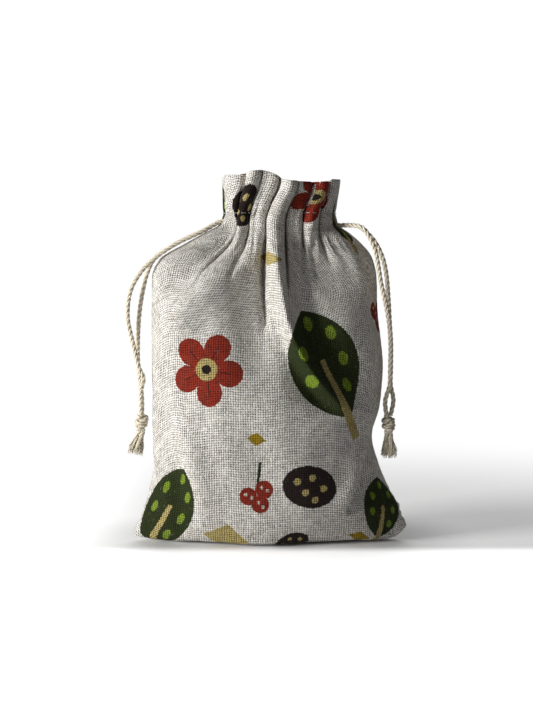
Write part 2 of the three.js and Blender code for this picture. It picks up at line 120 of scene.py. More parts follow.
body_share = [0.06, 0.12, 0.2, 0.29, 0.38, 0.52, 0.66, 0.86, 0.97]
neck_share = [0.2, 0.52, 0.78]
outline_heights = np.array(
    [0, corner_height / 3, corner_height]
    + [shoulder_height * t for t in body_share]
    + [mix(shoulder_height, channel_height, t) for t in neck_share]
    + [channel_height, mix(channel_height, top_height, 0.22), top_height]
)
outline = {
    "left": [foot_reach, mix(foot_reach, corner_reach, 0.9), corner_reach]
    + [mix(left_side, corner_reach, t) for t in (0.85, 0.55, 0.2, -0.03, 0, 0, 0, 0, 0)]
    + [mix(left_neck, left_side, t) for t in (0.9, 0.59, 0.27)]
    + [left_neck, mix(left_neck, left_frill, 1.2), left_frill],
    "right": [foot_reach, mix(foot_reach, corner_reach, 0.85), corner_reach]
    + [mix(right_side, corner_reach, t) for t in (0.95, 0.78, 0.28, -0.16, -0.42, -0.1, 0)]
    + [mix(right_neck, right_side, t) for t in (0.88, 0.85, 0.77, 0.58, 0.28)]
    + [right_neck, mix(right_neck, right_frill, -0.6), right_frill],
    "depth": [foot_depth, mix(foot_depth, edge_depth, 0.85), edge_depth]
    + [mix(edge_depth, belly_depth, t) for t in (0.26, 0.5, 0.73, 0.88, 0.96, 1)]
    + [mix(neck_depth, belly_depth, t) for t in (0.97, 0.85, 0.68, 0.53, 0.32, 0.14)]
    + [neck_depth, neck_depth, frill_depth],
}
outline = {side: np.array(values, float) for side, values in outline.items()}


def slopes_of(values):
    steps = np.diff(values) / np.diff(outline_heights)
    before = np.concatenate([steps[:1], steps])
    after = np.concatenate([steps, steps[-1:]])
    same_way = before * after > 0
    return np.where(same_way, 2 * before * after / np.where(same_way, before + after, 1), 0)


outline_slopes = {side: slopes_of(values) for side, values in outline.items()}


def reach_at(side, height):
    values, slopes = outline[side], outline_slopes[side]
    i = int(np.clip(np.searchsorted(outline_heights, height, "left") - 1, 0, len(values) - 2))
    span = outline_heights[i + 1] - outline_heights[i]
    t = min(1, max(0, (height - outline_heights[i]) / span))
    rest = 1 - t
    return (
        values[i] * (1 + 2 * t) * rest * rest
        + values[i + 1] * (1 + 2 * rest) * t * t
        + slopes[i] * span * t * rest * rest
        - slopes[i + 1] * span * rest * t * t
    )


print("reach at the shoulders:", [round(float(reach_at(s, shoulder_height)), 1) for s in outline])

# %% [markdown]
# One level of the pouch is a closed line: thin at its ends near the ground, where the two bottom
# corners stand out like ears, and rounder higher up. Places on it are given by the share of the way
# round, from 0 at the left side seam to 0.5 at the right one and back.

# %% Levels of the pouch
samples = 480
seam_turns = (math.radians(4), math.radians(5))


def level(height, inset=0.0, ends=None):
    ends = inset if ends is None else ends
    left = reach_at("left", height) - ends
    right = reach_at("right", height) - ends
    depth = reach_at("depth", height) - inset
    pinch = 1 + ear_thinness * math.exp(-height / ear_height)
    turned = float(smooth(shoulder_height * 0.7, shoulder_height * 1.02, height))
    first = seam_turns[0] * turned
    last = math.pi - seam_turns[1] * turned
    halves = []
    for start, stop in ((first, last), (last, 2 * math.pi + first)):
        angle = np.linspace(start, stop, samples + 1)
        sine = np.sin(angle)
        x = (right - left) / 2 - ((right + left) / 2) * np.cos(angle)
        y = -depth * np.sign(sine) * np.abs(sine) ** pinch
        lengths = np.concatenate([[0], np.cumsum(np.hypot(np.diff(x), np.diff(y)))])
        halves.append((x, y, lengths))
    return halves


def place_on(halves, around):
    """Places on a level, and the way out of the pouch there, for shares of the way round."""
    around = np.atleast_1d(np.asarray(around, float)) % 1
    place = np.zeros((len(around), 2))
    outward = np.zeros((len(around), 2))
    for half, (x, y, lengths) in enumerate(halves):
        here = (around >= 0.5) == (half == 1)
        target = lengths[-1] * ((2 * around[here]) % 1)
        middles = (lengths[1:] + lengths[:-1]) / 2
        along = np.stack([np.diff(x), np.diff(y)], 1)
        along /= np.linalg.norm(along, axis=1)[:, None] + 1e-12
        place[here] = np.stack([np.interp(target, lengths, x), np.interp(target, lengths, y)], 1)
        tangent = np.stack([np.interp(target, middles, along[:, k]) for k in (0, 1)], 1)
        tangent /= np.linalg.norm(tangent, axis=1)[:, None] + 1e-12
        outward[here] = np.stack([tangent[:, 1], -tangent[:, 0]], 1)
    return place, outward


def share_at(halves, x, is_front):
    """The share of the way round at which the front or the back of a level crosses an x."""
    xs, _, lengths = halves[0 if is_front else 1]
    order = xs if is_front else xs[::-1]
    run = lengths if is_front else lengths[::-1]
    return (0 if is_front else 0.5) + float(np.interp(x, order, run)) / lengths[-1] / 2


print("round the belly:", round(sum(half[2][-1] for half in level(70)), 1), "mm")

# %% [markdown]
# ## The gathers
#
# The drawn cords bunch the cloth into soft round ridges with sharp valleys between them. Each ridge
# has its place at the top edge, at the cords and below them, a size, and how far down it reaches.
# The columns of the cloth's mesh follow the ridges, so that no crease is cut across by a face.

# %% Gathers and columns
front_gathers = [
    (-15.6, -16.4, -38, 1.8, 13),
    (-5.6, -11.8, -27, 5.2, 18),
    (-0.4, -6.6, -9, 1.8, 22),
    (9.8, 3.2, 3.4, 6.4, 28),
    (14.9, 10.8, 13, 3.0, 20),
    (22.6, 18.2, 23, 5.6, 12),
    (28.2, 24.8, 36, 2.4, 14),
]
back_gathers = [
    (24, 22, 36, 3.4, 16),
    (17, 15, 23, 4.4, 22),
    (9.6, 8.4, 12, 3.8, 16),
    (2.8, 1.6, 1, 4.8, 26),
    (-4, -5.2, -11, 3.8, 18),
    (-10.4, -11, -22, 3.8, 20),
    (-16.4, -16.6, -35, 2.8, 14),
]
low_gather_height = shoulder_height - 6
per_gather = 21
columns = per_gather * (len(front_gathers) + len(back_gathers) + 2)
front_columns = per_gather * (len(front_gathers) + 1)


def columns_at(height):
    """Of each column the share round, its gather's height, its place in the gather and the seam."""
    halves = level(height)
    up = float(smooth(channel_height, top_height, height))
    down = float(smooth(channel_height, low_gather_height, height))
    marks = []
    for is_front, gathers in ((True, front_gathers), (False, back_gathers)):
        marks.append((0 if is_front else 0.5, 0, True))
        for top, neck, low, size, reach in gathers:
            x = neck + (top - neck) * up + (low - neck) * down
            fade = math.exp(-((max(0, channel_height - height) / reach) ** 2))
            marks.append((share_at(halves, x, is_front), size * fade, False))
    marks.append((1, 0, True))
    t = np.arange(per_gather) / per_gather
    around, gather, turns, seamless = [], [], [], []
    for (at, size, seam), (next_at, next_size, next_seam) in zip(marks, marks[1:]):
        turn = (1 + t) / 2 if seam else t / 2 if next_seam else t
        sizes = mix(next_size if seam else size, size if next_seam else next_size, t)
        around.append(mix(at, next_at, t))
        gather.append(sizes)
        turns.append(turn)
        seamless.append(smooth(0, 1, t if seam else 1 - t if next_seam else np.ones(per_gather)))
    return tuple(np.concatenate(part) for part in (around, gather, turns, seamless))


front_valleys = [1.6, 2.6, 1.6, 4.0, 4.2, 1.2, 2.8, 1.4]
back_valleys = [1.2, 2.0, 1.0, 2.6, 1.8, 0.8, 2.0, 1.4]
for valleys in (front_valleys, back_valleys):
    valleys[-1] = mix(valleys[-2], valleys[-1], 0.5)
valley_marks = np.repeat(front_valleys + back_valleys, per_gather)
print("columns round the cloth:", columns)

# %% [markdown]
# ## The folds of the body
#
# Below the neck the gathers run out into long soft folds, and the filled belly dents here and there.
# Each fold is a line over the front or the back with a height, or a depth where it is negative, and
# a width. At the lower right the belly hangs over the flat corner: that is a step and not a groove.

# %% Folds
folds = [
    (True, -2.6, 2.4, [(-2.6, 138), (-3.8, 126), (-3.8, 112), (-2, 99)]),
    (True, -4.6, 10, [(-9, 128), (-8, 110), (-7, 94), (-4, 76)]),
    (True, 5.2, 7.5, [(-9, 134), (-16, 126), (-29, 118), (-38, 108), (-43, 96)]),
    (True, -8, 8.5, [(-13, 139), (-19, 132), (-28, 126), (-41, 120)]),
    (True, 2.6, 4.6, [(4.4, 116), (7, 98), (13, 85), (22, 73), (32, 63)]),
    (True, -6.2, 8, [(10.5, 133), (14, 114), (19, 98), (27, 84), (38, 70)]),
    (True, -4.2, 7, [(20, 136), (24, 123), (31, 110)]),
    (True, -1.8, 5, [(33, 129), (39, 112)]),
    (True, -3.6, 3.6, [(-53, 70), (-49.5, 61), (-48, 54), (-52, 45)]),
    (True, 2.4, 5.5, [(-38, 54), (-34, 40), (-29, 14)]),
    (True, -1.8, 4.5, [(-44, 38), (-42, 26), (-41, 12)]),
    (True, -1.8, 9, [(-10, 56), (-5, 38), (2, 16)]),
    (False, 3.6, 5.5, [(2, 134), (0, 116), (-8, 92), (-14, 70)]),
    (False, -5, 7, [(-6, 134), (-10, 116), (-20, 96)]),
    (False, -4.8, 7, [(12, 134), (18, 118), (31, 104)]),
    (False, -4, 5.5, [(-50, 60), (-45, 46), (-40, 30)]),
    (False, 2.6, 6.5, [(30, 54), (27, 34), (22, 16)]),
]
creases = [
    (True, -2.0, 1.3, [(-2.6, 138), (-3.6, 125), (-3.2, 112), (-1.6, 100)]),
    (True, -2.2, 1.2, [(7, 140), (6.6, 130), (7.4, 118)]),
    (True, -1.8, 1.2, [(11.4, 139), (11, 128), (12, 116)]),
    (True, -2.0, 1.2, [(15, 140), (15, 129), (16.4, 119)]),
    (True, -1.6, 1.1, [(19.6, 139), (19.8, 130), (22, 121)]),
    (True, -0.9, 1.3, [(-9.5, 139), (-13, 129), (-18, 121)]),
    (True, -0.9, 1.3, [(-14.5, 140), (-21, 131), (-28, 125)]),
    (True, -0.7, 1.3, [(26, 139), (31, 131), (36, 125)]),
    (False, -1.8, 1.5, [(-1, 138), (-3, 124), (-6, 112)]),
    (False, -0.9, 1.2, [(6, 138), (7, 128), (9, 119)]),
    (False, -0.9, 1.2, [(-9, 138), (-12, 128), (-17, 120)]),
    (False, -0.8, 1.3, [(17, 139), (22, 130), (29, 124)]),
]
seam_fold = [(True, -1.8, 3, [(33, 137), (43, 112), (47.5, 84)])]
belly_fold = [(True, -4.4, 4.4, [(52, 64), (48.5, 50), (44.5, 38), (41, 26), (38, 19)])]


def fold_at(x, height, is_front, fold_list):
    """How far the folds of a list push the cloth out at places of one height."""
    out = np.zeros(len(x))
    for front, size, width, line in fold_list:
        nearest = np.full(len(x), np.inf)
        along = np.zeros(len(x))
        for i, ((ax, az), (bx, bz)) in enumerate(zip(line, line[1:])):
            dx, dz = bx - ax, bz - az
            t = np.clip(((x - ax) * dx + (height - az) * dz) / (dx * dx + dz * dz), 0, 1)
            far = np.hypot(x - ax - t * dx, height - az - t * dz)
            closer = far < nearest
            along[closer] = ((i + t) / (len(line) - 1))[closer]
            nearest = np.minimum(nearest, far)
        fade = 0.25 + 0.75 * np.sin(np.pi * (0.12 + 0.8 * along))
        out += np.where(is_front == front, size * fade * bump(nearest, 0, width), 0)
    return out


def step_at(x, height, is_front, line, rise, drop, reach, side=1, soft=2.2):
    """A step along a line: a rounded edge and a dent beyond it, to the right, or left for side -1."""
    zs, xs = zip(*sorted((z, px) for px, z in line))
    past = side * (x - np.interp(height, zs, xs))
    fade = smooth(zs[0] - 4, zs[0] + 8, height) * (1 - smooth(zs[-1] - 8, zs[-1] + 3, height))
    edge = rise * bump(past, -3, 4)
    dent = -drop * smooth(-0.4 * soft, 0.6 * soft, past) * np.exp(-np.maximum(0, past) / reach)
    return np.where(is_front, fade * (edge + dent), 0)


def lift_at(x, is_front):
    """How far the bottom edge is lifted off the table."""
    side = np.where(is_front, 1, -1)
    return (
        1.3 * np.exp(-(((x + side * 28) / 12) ** 4))
        + 2.4 * np.exp(-(((x - side * 23) / 18) ** 4))
        + 3.4 * np.maximum(0, (x - corner_reach + 10) / 10) ** 2
    )


def crest_at(x, is_front, height):
    """How much higher than the plain top edge the wavy one is, fading out towards the channel."""
    peak = np.where(is_front, -3, -8)
    slant = np.where(is_front, -0.05, -0.02)
    rise = slant * (x - 4) + 2.6 * np.exp(-(((x - peak) / 6) ** 2)) - 0.8
    rise -= 1.5 * np.exp(-(((x - 15) / 11) ** 4))
    return rise * float(smooth(channel_height + 4, top_height, height))


print("folds:", len(folds) + len(seam_fold) + len(belly_fold))

# %% [markdown]
# ## Small wrinkles
#
# No real cloth is as smooth as a formula. A grid of seeded random numbers, smoothed between its
# points, gives soft dents of any size. The seed makes them the same on each run.


# %% Wrinkles
def wrinkle(across, height, wide, tall, seed):
    grid = np.random.default_rng(seed).uniform(-1, 1, (64, 64))
    u, v = np.asarray(across) / wide + 3, np.asarray(height) / tall + 3
    u, v = np.broadcast_arrays(u, v)
    iu, iv = np.floor(u).astype(int), np.floor(v).astype(int)
    fu, fv = u - iu, v - iv
    fu, fv = fu * fu * (3 - 2 * fu), fv * fv * (3 - 2 * fv)
    corners = [grid[(iu + a) % 64, (iv + b) % 64] for a in (0, 1) for b in (0, 1)]
    return mix(mix(corners[0], corners[1], fv), mix(corners[2], corners[3], fv), fu)


cloth_round = 260.0
column_across = columns_at(80)[0] * cloth_round
print("cloth round the pouch:", cloth_round, "mm")

# %% [markdown]
# ## The rings of the cloth
#
# A ring is one level with everything on it: gathers, folds, the lifted bottom edge and the wavy top,
# and also what only a fine mesh can show: narrow creases in the valleys, puckers along the two lines
# of stitches, the swelling of the channel over its cords, the groove of the side seams, and wrinkles.
# A step is a line over the front where the cloth hangs over a dent on one side of it.
#
# The inside of the cloth is the same ring set in by its thickness, so the two never cross. Rings
# without the fine forms are made once, like the model's, to find where the model has the cloth.

# %% Rings
steps = [
    {
        "line": [(50.5, 66), (50, 60), (46, 50.5), (42, 38), (39.6, 27.8), (34, 16)],
        "rise": 1.4, "drop": 6.0, "reach": 9,
    },
    {
        "line": [(37, 138), (41, 127), (44, 118), (47, 107), (49.5, 95), (50.6, 82)],
        "rise": 0.8, "drop": 4.6, "reach": 7,
    },
    {
        "line": [(0.5, 136), (1.5, 124), (3.5, 110), (7, 96), (13, 83), (22, 71), (31, 61)],
        "rise": 1.2, "drop": 9, "reach": 17, "side": -1, "soft": 7,
    },
]
upper_stitches, lower_stitches = 149, 135
pucker_height, channel_swell, seam_depth = 0.34, 0.5, 1.1
large_wrinkles, small_wrinkles = 0.55, 0.22
hem_half, hem_end = 5, 9
fold_room, end_room = 0.8, 8
cloth_thickness = 1.0
channel_lining = 2 * wall + cord_width + 3 * clearance


def ring_at(height, inset=0.0, ends=None, lining=0.0, fine=True):
    """One level of the cloth, or the same level set in by some distance, with all its folds."""
    around, gather, turn, seamless = columns_at(height)
    x = place_on(level(height), around)[0][:, 0]
    place, outward = place_on(level(height, inset, ends), around)
    is_front = around < 0.5
    bunched = gather * np.abs(np.cos(np.pi * turn))
    if fine:
        out = fold_at(x, height, is_front, folds)
        for step in steps:
            out += step_at(x, height, is_front, **step)
        out *= mix(0.1, 1, seamless)
        held = 1 - 0.45 * bump(height, channel_height, 5)
        bunched -= valley_marks * held * bump(turn, 0.5, 0.08) * gather / 4
        out += fold_at(x, height, is_front, creases) * seamless
        along = np.column_stack([-outward[:, 1], outward[:, 0]])
        lean = np.where(is_front, -0.7, 0.5) * np.abs(np.cos(np.pi * turn))
        shift = (0.8 * np.sin(2 * np.pi * turn) + lean) * gather / 4 * seamless * (1 - lining)
        place = place + along * shift[:, None]
        stitched = bump(height, upper_stitches, 3) + bump(height, lower_stitches, 3.4)
        pucker = np.sin(column_across * 2.05 + 1.6 * np.sin(column_across * 0.37))
        out += pucker_height * stitched * pucker * seamless
        out -= 0.45 * bump(height, upper_stitches, 1.5) + 0.4 * bump(height, lower_stitches, 1.6)
        out += channel_swell * bump(height, channel_height - 2, 4.5)
        from_seam = np.minimum(column_across, cloth_round - column_across)
        from_seam = np.minimum(from_seam, np.abs(column_across - cloth_round / 2))
        tug = 1 + 0.35 * math.sin(height * 1.5) + 0.2 * math.sin(height * 0.63 + 1)
        seam_fade = float(smooth(2, 12, height))
        out -= seam_depth * tug * seam_fade * bump(from_seam, 0, 1.5)
        soft = smooth(0, 8, from_seam) * float(smooth(1, 8, height))
        out += large_wrinkles * soft * wrinkle(column_across, height, 17, 26, 4)
        out += small_wrinkles * soft * wrinkle(column_across, height, 7, 11, 9)
    else:
        out = fold_at(x, height, is_front, folds + seam_fold + belly_fold) * mix(0.35, 1, seamless)
    out += bunched * (1 - lining)
    if height <= 0:
        out = np.zeros(columns)
    on_edge = math.exp(-max(0, height - corner_height) / 9)
    on_edge *= float(smooth(0, corner_height / 2, height))
    lift = lift_at(x, is_front) * on_edge + crest_at(x, is_front, height)
    return np.column_stack([place + outward * out[:, None], height + lift])


def inner_ring(height):
    """The inside of the cloth, which keeps clear of the channel that holds the cords."""
    lining = float(smooth(hem_end, hem_half, abs(height - channel_height)))
    inset = mix(cloth_thickness, channel_lining, lining)
    inset += fold_room * float(smooth(hem_end, hem_end + 6, channel_height - height))
    ends = inset + end_room * math.exp(-((height / ear_height) ** 2))
    return ring_at(height, inset, ends, lining)


plain_heights = [0, 1, 3, *np.linspace(6, top_height, 40)]
plain_rings = np.array([ring_at(z, fine=False) for z in plain_heights])
plain_middle = (plain_rings.min((0, 1)) + plain_rings.max((0, 1))) / 2
cloth_shift = np.array([*((cloth_low + cloth_high) * 500)[:2], 0]) - [*plain_middle[:2], 0]
print("the cloth is moved by", cloth_shift.round(2), "mm to sit where the model has it")

# %% [markdown]
# ## The cords
#
# Each cord is a twisted cotton cord 2.2 mm thick. It goes in at one side seam, right round the
# channel and out at the same seam, and its two ends hang down the side to a knot. A cord is a tube
# whose section is three round strands, and the section turns as it goes along, which lays the
# strands round each other. The free legs follow the same points as the solid model's cords.


# %% Paths
def run_of(path):
    """How far along a path each of its points is."""
    return np.concatenate([[0], np.cumsum(np.linalg.norm(np.diff(path, axis=0), axis=1))])


def places_at(distances, run, path):
    """The places on a path at some distances along it."""
    return np.stack([np.interp(distances, run, path[:, k]) for k in range(3)], axis=-1)


def curve_through(points, spacing):
    """Points at an even spacing on a smooth curve through the given ones."""
    points = [np.asarray(p, float) for p in points]
    points = [2 * points[0] - points[1], *points, 2 * points[-1] - points[-2]]
    fine = []
    for p0, p1, p2, p3 in zip(points, points[1:], points[2:], points[3:]):
        t0 = 0
        t1 = t0 + np.linalg.norm(p1 - p0) ** 0.5
        t2 = t1 + np.linalg.norm(p2 - p1) ** 0.5
        t3 = t2 + np.linalg.norm(p3 - p2) ** 0.5
        for t in np.linspace(t1, t2, 24, endpoint=False):
            a1 = (t1 - t) / (t1 - t0) * p0 + (t - t0) / (t1 - t0) * p1
            a2 = (t2 - t) / (t2 - t1) * p1 + (t - t1) / (t2 - t1) * p2
            a3 = (t3 - t) / (t3 - t2) * p2 + (t - t2) / (t3 - t2) * p3
            b1 = (t2 - t) / (t2 - t0) * a1 + (t - t0) / (t2 - t0) * a2
            b2 = (t3 - t) / (t3 - t1) * a2 + (t - t1) / (t3 - t1) * a3
            fine.append((t2 - t) / (t2 - t1) * b1 + (t - t1) / (t2 - t1) * b2)
    fine = np.array([*fine, points[-2]])
    run = run_of(fine)
    count = max(2, int(round(run[-1] / spacing)) + 1)
    return places_at(np.linspace(0, run[-1], count), run, fine)


def length_of(path):
    return float(run_of(path)[-1])


channel_inset = wall + (cord_width + 3 * clearance) / 2
channel_level = level(channel_height, channel_inset)
seam_share = {"left": 0.0, "right": 0.5}
exit_gap = cord_width / 2 + 1.5 * clearance
slit_reach = channel_inset + 6


def slit_point(side, beyond, along, rise):
    place, outward = place_on(channel_level, seam_share[side])
    (px, py), (ox, oy) = place[0], outward[0]
    x, y = px + ox * beyond - oy * along, py + oy * beyond + ox * along
    return np.array([x, y, channel_height + rise])


leg_drops = {
    ("left", "front"): [
        (3.6, 2.6, -5.6), (9.6, 2.9, -6.4), (16, 1.9, -6.6), (21.4, 4.4, -6.6), (30, 8.8, -6.2),
        (42, 10.2, -5.8), (54, 7.8, -5.4), (65, 5.2, -5.2), (69.4, 3.4, -5), (74.4, 4.4, -4.8),
        (81, 4.6, -4.6), (86.2, 4.7, -4.2),
    ],
    ("left", "back"): [
        (2.6, 3.0, -1.4), (8.4, 3.2, -1.6), (15.4, 1.8, -1.8), (22, 1.8, -2.2), (30, 3.6, -2.4),
        (40, 5.2, -2.6), (52, 6, -2.4), (64, 6, -2.2), (72, 5, -2), (80, 4.4, -1.8), (86, 4.5, -1.4),
    ],
    ("right", "front"): [
        (1.6, 9.6, -10.6), (5.8, 6.4, -11.4), (11.6, 2.6, -11.2), (18.4, 0.8, -10.6), (26, 0.9, -10),
        (34, 2.5, -9.4), (44, 3.6, -8.8), (54, 3, -8.4), (65, 2.4, -8.2), (72.4, 2.6, -8),
        (79.4, 1.3, -8.2), (86.6, 3.5, -8.2),
    ],
    ("right", "back"): [
        (1.2, 9.4, -6), (3.4, 8.6, -6.4), (8, 6.2, -6.6), (14.8, 4.2, -6.4), (22, 3.9, -6.2),
        (32, 4.3, -6), (44, 4.1, -5.6), (54, 3.4, -5.4), (65, 2.9, -5.2), (72.4, 3.3, -5),
        (79.4, 5.2, -5.2), (86.4, 5.4, -5.4),
    ],
}


def leg_points(side, which):
    sign = -1 if side == "left" else 1
    points = []
    for down, out, y in leg_drops[side, which]:
        z = channel_height - down
        points.append(np.array([sign * (reach_at(side, z) + out), y, z]))
    return points


def leg_path(side, which):
    sign = 1 if side == "left" else -1
    rise = sign * (cord_width + clearance) / 2
    along = exit_gap * (sign if which == "front" else -sign)
    start = slit_point(side, cord_width, along, rise)
    outside = slit_point(side, slit_reach / 2, along, rise * 0.6)
    return curve_through([start, outside, *leg_points(side, which)], 0.4) + cloth_shift


leg_paths = {key: leg_path(*key) for key in leg_drops}
for (side, which), path in leg_paths.items():
    print(side, which, "leg:", round(length_of(path), 1), "mm")

# %% [markdown]
# The strands of the cord are three circles set round its middle. Seen from the middle, the outside
# of the nearest one gives the radius at each angle. The tube keeps, in its own UV map, the way round
# the section and the way along it, which the finish reads later.

# %% A twisted cord
strand_radius = 0.6
strand_offset = 0.5
twist_length = 7.6
cord_sides = 24


def strand_outline(angles):
    near = (angles + math.pi / 3) % (2 * math.pi / 3) - math.pi / 3
    side = strand_offset * np.sin(near)
    return strand_offset * np.cos(near) + np.sqrt(np.maximum(0.01, strand_radius**2 - side**2))


def frames_along(path):
    """A direction and two steady cross directions at each point of a path."""
    ahead = np.gradient(path, axis=0)
    ahead /= np.linalg.norm(ahead, axis=1)[:, None]
    across = np.zeros_like(path)
    start = np.cross(ahead[0], [0.3, 1, 0.2])
    across[0] = start / np.linalg.norm(start)
    for i in range(1, len(path)):
        step = across[i - 1] - ahead[i] * np.dot(across[i - 1], ahead[i])
        across[i] = step / np.linalg.norm(step)
    return ahead, across, np.cross(ahead, across)


def add_mesh(name, points, faces, uv_maps=None):
    """An object at the origin whose mesh has these points, in millimetres."""
    mesh = bpy.data.meshes.new(name)
    mesh.from_pydata((np.asarray(points) / 1000).tolist(), [], [list(f) for f in faces])
    for map_name, values in (uv_maps or {}).items():
        layer = mesh.uv_layers.new(name=map_name)
        layer.data.foreach_set("uv", np.asarray(values, np.float32).ravel())
    mesh.polygons.foreach_set("use_smooth", [True] * len(mesh.polygons))
    mesh.update()
    piece = bpy.data.objects.new(name, mesh)
    bpy.context.scene.collection.objects.link(piece)
    return piece


def tube(path, sides, radius_at, twist=0.0, phase=0.0):
    """Points, faces and UVs of a closed tube along a path, with a radius by angle and distance."""
    ahead, across, up = frames_along(path)
    run = run_of(path)
    angles = np.arange(sides) * 2 * math.pi / sides
    points, faces, uvs = [], [], []
    for i, centre in enumerate(path):
        turn = angles + phase + (2 * math.pi * run[i] / twist if twist else 0)
        r = radius_at(angles, run[i], run[-1])[:, None]
        cosine, sine = np.cos(turn)[:, None], np.sin(turn)[:, None]
        points.append(centre + r * (cosine * across[i] + sine * up[i]))
    points = np.concatenate([*points, path[:1], path[-1:]])
    first, last = len(points) - 2, len(points) - 1
    for i in range(len(path) - 1):
        for k in range(sides):
            n = (k + 1) % sides
            faces.append((i * sides + k, i * sides + n, (i + 1) * sides + n, (i + 1) * sides + k))
            a, b = k / sides, (k + 1) / sides
            uvs += [(a, run[i]), (b, run[i]), (b, run[i + 1]), (a, run[i + 1])]
    for k in range(sides):
        n = (k + 1) % sides
        faces.append((first, n, k))
        faces.append((last, (len(path) - 1) * sides + k, (len(path) - 1) * sides + n))
        uvs += [(0, 0)] * 3 + [(0, run[-1])] * 3
    return points, faces, uvs


def strands(taper_start=0.0, taper_end=0.0, size=1.0):
    def radius_at(angles, run, total):
        full = strand_outline(angles) * size
        if taper_start and run < taper_start:
            full = full * math.sqrt(max(0.02, run / taper_start))
        if taper_end and run > total - taper_end:
            full = full * math.sqrt(max(0.02, (total - run) / taper_end))
        return full

    return radius_at


def cord_piece(name, path, phase=0.0):
    points, faces, uvs = tube(path, cord_sides, strands(), twist_length, phase)
    return add_mesh(name, points, faces, {"strand": uvs})


legs = {}
for i, ((side, which), path) in enumerate(leg_paths.items()):
    legs[side, which] = cord_piece(f"{side}_{which}_leg", path, phase=i * 0.8)
    print(legs[side, which].name, len(legs[side, which].data.polygons), "faces")

# %% [markdown]
# Inside the channel each cord runs once round the neck. Only its ends can be seen, in the slits at
# the side seams, but a pouch whose cord stops there would look wrong from the side.

# %% The cords in the channel
loops = {}
for side, start in seam_share.items():
    sign = 1 if side == "left" else -1
    rise = sign * (cord_width + clearance) / 2
    points = [slit_point(side, cord_width, exit_gap * sign, rise)]
    for t in np.linspace(0.06, 0.94, 33):
        place, _ = place_on(channel_level, start + sign * t)
        points.append(np.array([*place[0], channel_height + rise]))
    points.append(slit_point(side, cord_width, -exit_gap * sign, rise))
    loop_path = curve_through(points, 0.7) + cloth_shift
    loops[side] = cord_piece(f"{side}_loop", loop_path)
    print(loops[side].name, round(length_of(loop_path), 1), "mm")

# %% [markdown]
# ## Knots and loose ends
#
# The two ends of a cord are tied together in one overhand knot: the cord lies round itself in a
# little more than two slanted turns. Below the knot both ends come out as short tails. The cord's
# yarns are no longer held there, so each tail opens out into a small brush of fine, wavy yarns.

# %% Knots
knot_height = 9.0
knot_turns = 2.35
wrap_radius, wrap_half = 1.5, 2.7
wrap_size, core_size = 1.1, 1.4
knots = {
    "left": {"lean": 9, "tails": [(20, 5), (13, -7)]},
    "right": {"lean": -3, "tails": [(2, 7), (-5, -6)]},
}


def turned(points, lean, out):
    """Points turned about the origin: forwards first, and then to the side, in degrees."""
    a, b = math.radians(out), math.radians(lean)
    x, y, z = np.asarray(points, float).T
    y, z = y * math.cos(a) - z * math.sin(a), y * math.sin(a) + z * math.cos(a)
    x, z = x * math.cos(b) + z * math.sin(b), -x * math.sin(b) + z * math.cos(b)
    return np.column_stack([x, y, z])


def joined(parts):
    """Several meshes as one: their points, faces and UVs in one list each."""
    points, faces, uvs, offset = [], [], [], 0
    for part_points, part_faces, part_uvs in parts:
        points.append(part_points)
        faces += [tuple(v + offset for v in f) for f in part_faces]
        uvs += part_uvs
        offset += len(part_points)
    return np.concatenate(points), faces, uvs


def knot_parts(lean, start):
    """The cord that is wound round the knot, and the one that goes through it."""
    t = np.linspace(0, 1, 110)
    turns = start + 2 * math.pi * knot_turns * t
    swell = np.minimum(1, np.minimum(t, 1 - t) * 7)
    radius = 0.5 + wrap_radius * np.sqrt(swell) * (1 + 0.05 * np.sin(3 * turns))
    z = mix(-wrap_half, wrap_half, t) + 0.9 * np.sin(turns + 0.6) * np.sqrt(swell)
    wrap = np.column_stack([radius * np.cos(turns), radius * np.sin(turns) * 0.95, z])
    wrap = curve_through(wrap[::4], 0.22)
    core = curve_through([(-0.6, 0, 4.4), (-0.3, 0.2, 1.6), (0.3, -0.2, -1.6), (0.6, 0, -4.5)], 0.4)
    parts = []
    for path, size in ((wrap, wrap_size), (core, core_size)):
        points, faces, uvs = tube(path, cord_sides, strands(0.5, 0.5, size), twist_length)
        parts.append((turned(points, lean, 0), faces, uvs))
    return parts


yarns = 90
yarn_spread = (1.7, 2.7)
yarn_lengths = (8.6, 12.4)
yarn_radii = (0.16, 0.24)
tail_sides = (-0.8, 0.8)


def tail_parts(aside, lean, out, seed):
    """One loose end: a short twisted stub and the brush of yarns that it opens into."""
    dice = random.Random(seed)
    stub = curve_through([(0, 0, 0), (0.1, 0, -1.6), (-0.1, 0.1, -3.2), (0, 0, -4.4)], 0.35)
    parts = [tube(stub, cord_sides, strands(0, 1.4), twist_length)]
    for _ in range(yarns):
        angle = dice.uniform(0, 2 * math.pi)
        near = math.sqrt(dice.uniform(0, 1))
        spread = dice.uniform(*yarn_spread)
        long = dice.uniform(*yarn_lengths)
        direction = np.array([math.cos(angle), math.sin(angle), 0]) * near
        yarn = []
        for t in np.linspace(0, 1, 8):
            z = mix(-2.2, -long, t)
            wave = np.array([math.sin(7 * t + 9 * near), math.cos(6 * t + angle * 3), 0])
            twist = 1.1 * (1 - t)
            turn = np.array([math.cos(angle + twist), math.sin(angle + twist), 0]) * near
            yarn.append(mix(turn * 0.9, direction * spread, t**1.5) + 0.14 * wave * t + [0, 0, z])
        thin = dice.uniform(*yarn_radii)

        def radius_at(angles, run, total, thin=thin):
            return np.full(len(angles), thin * (1 - 0.55 * (run / total) ** 3))

        parts.append(tube(curve_through(yarn, 0.8), 5, radius_at))
    hung = [aside, 0, -knot_height / 2 + 1.2]
    return [(turned(points, lean, out) + hung, faces, uvs) for points, faces, uvs in parts]


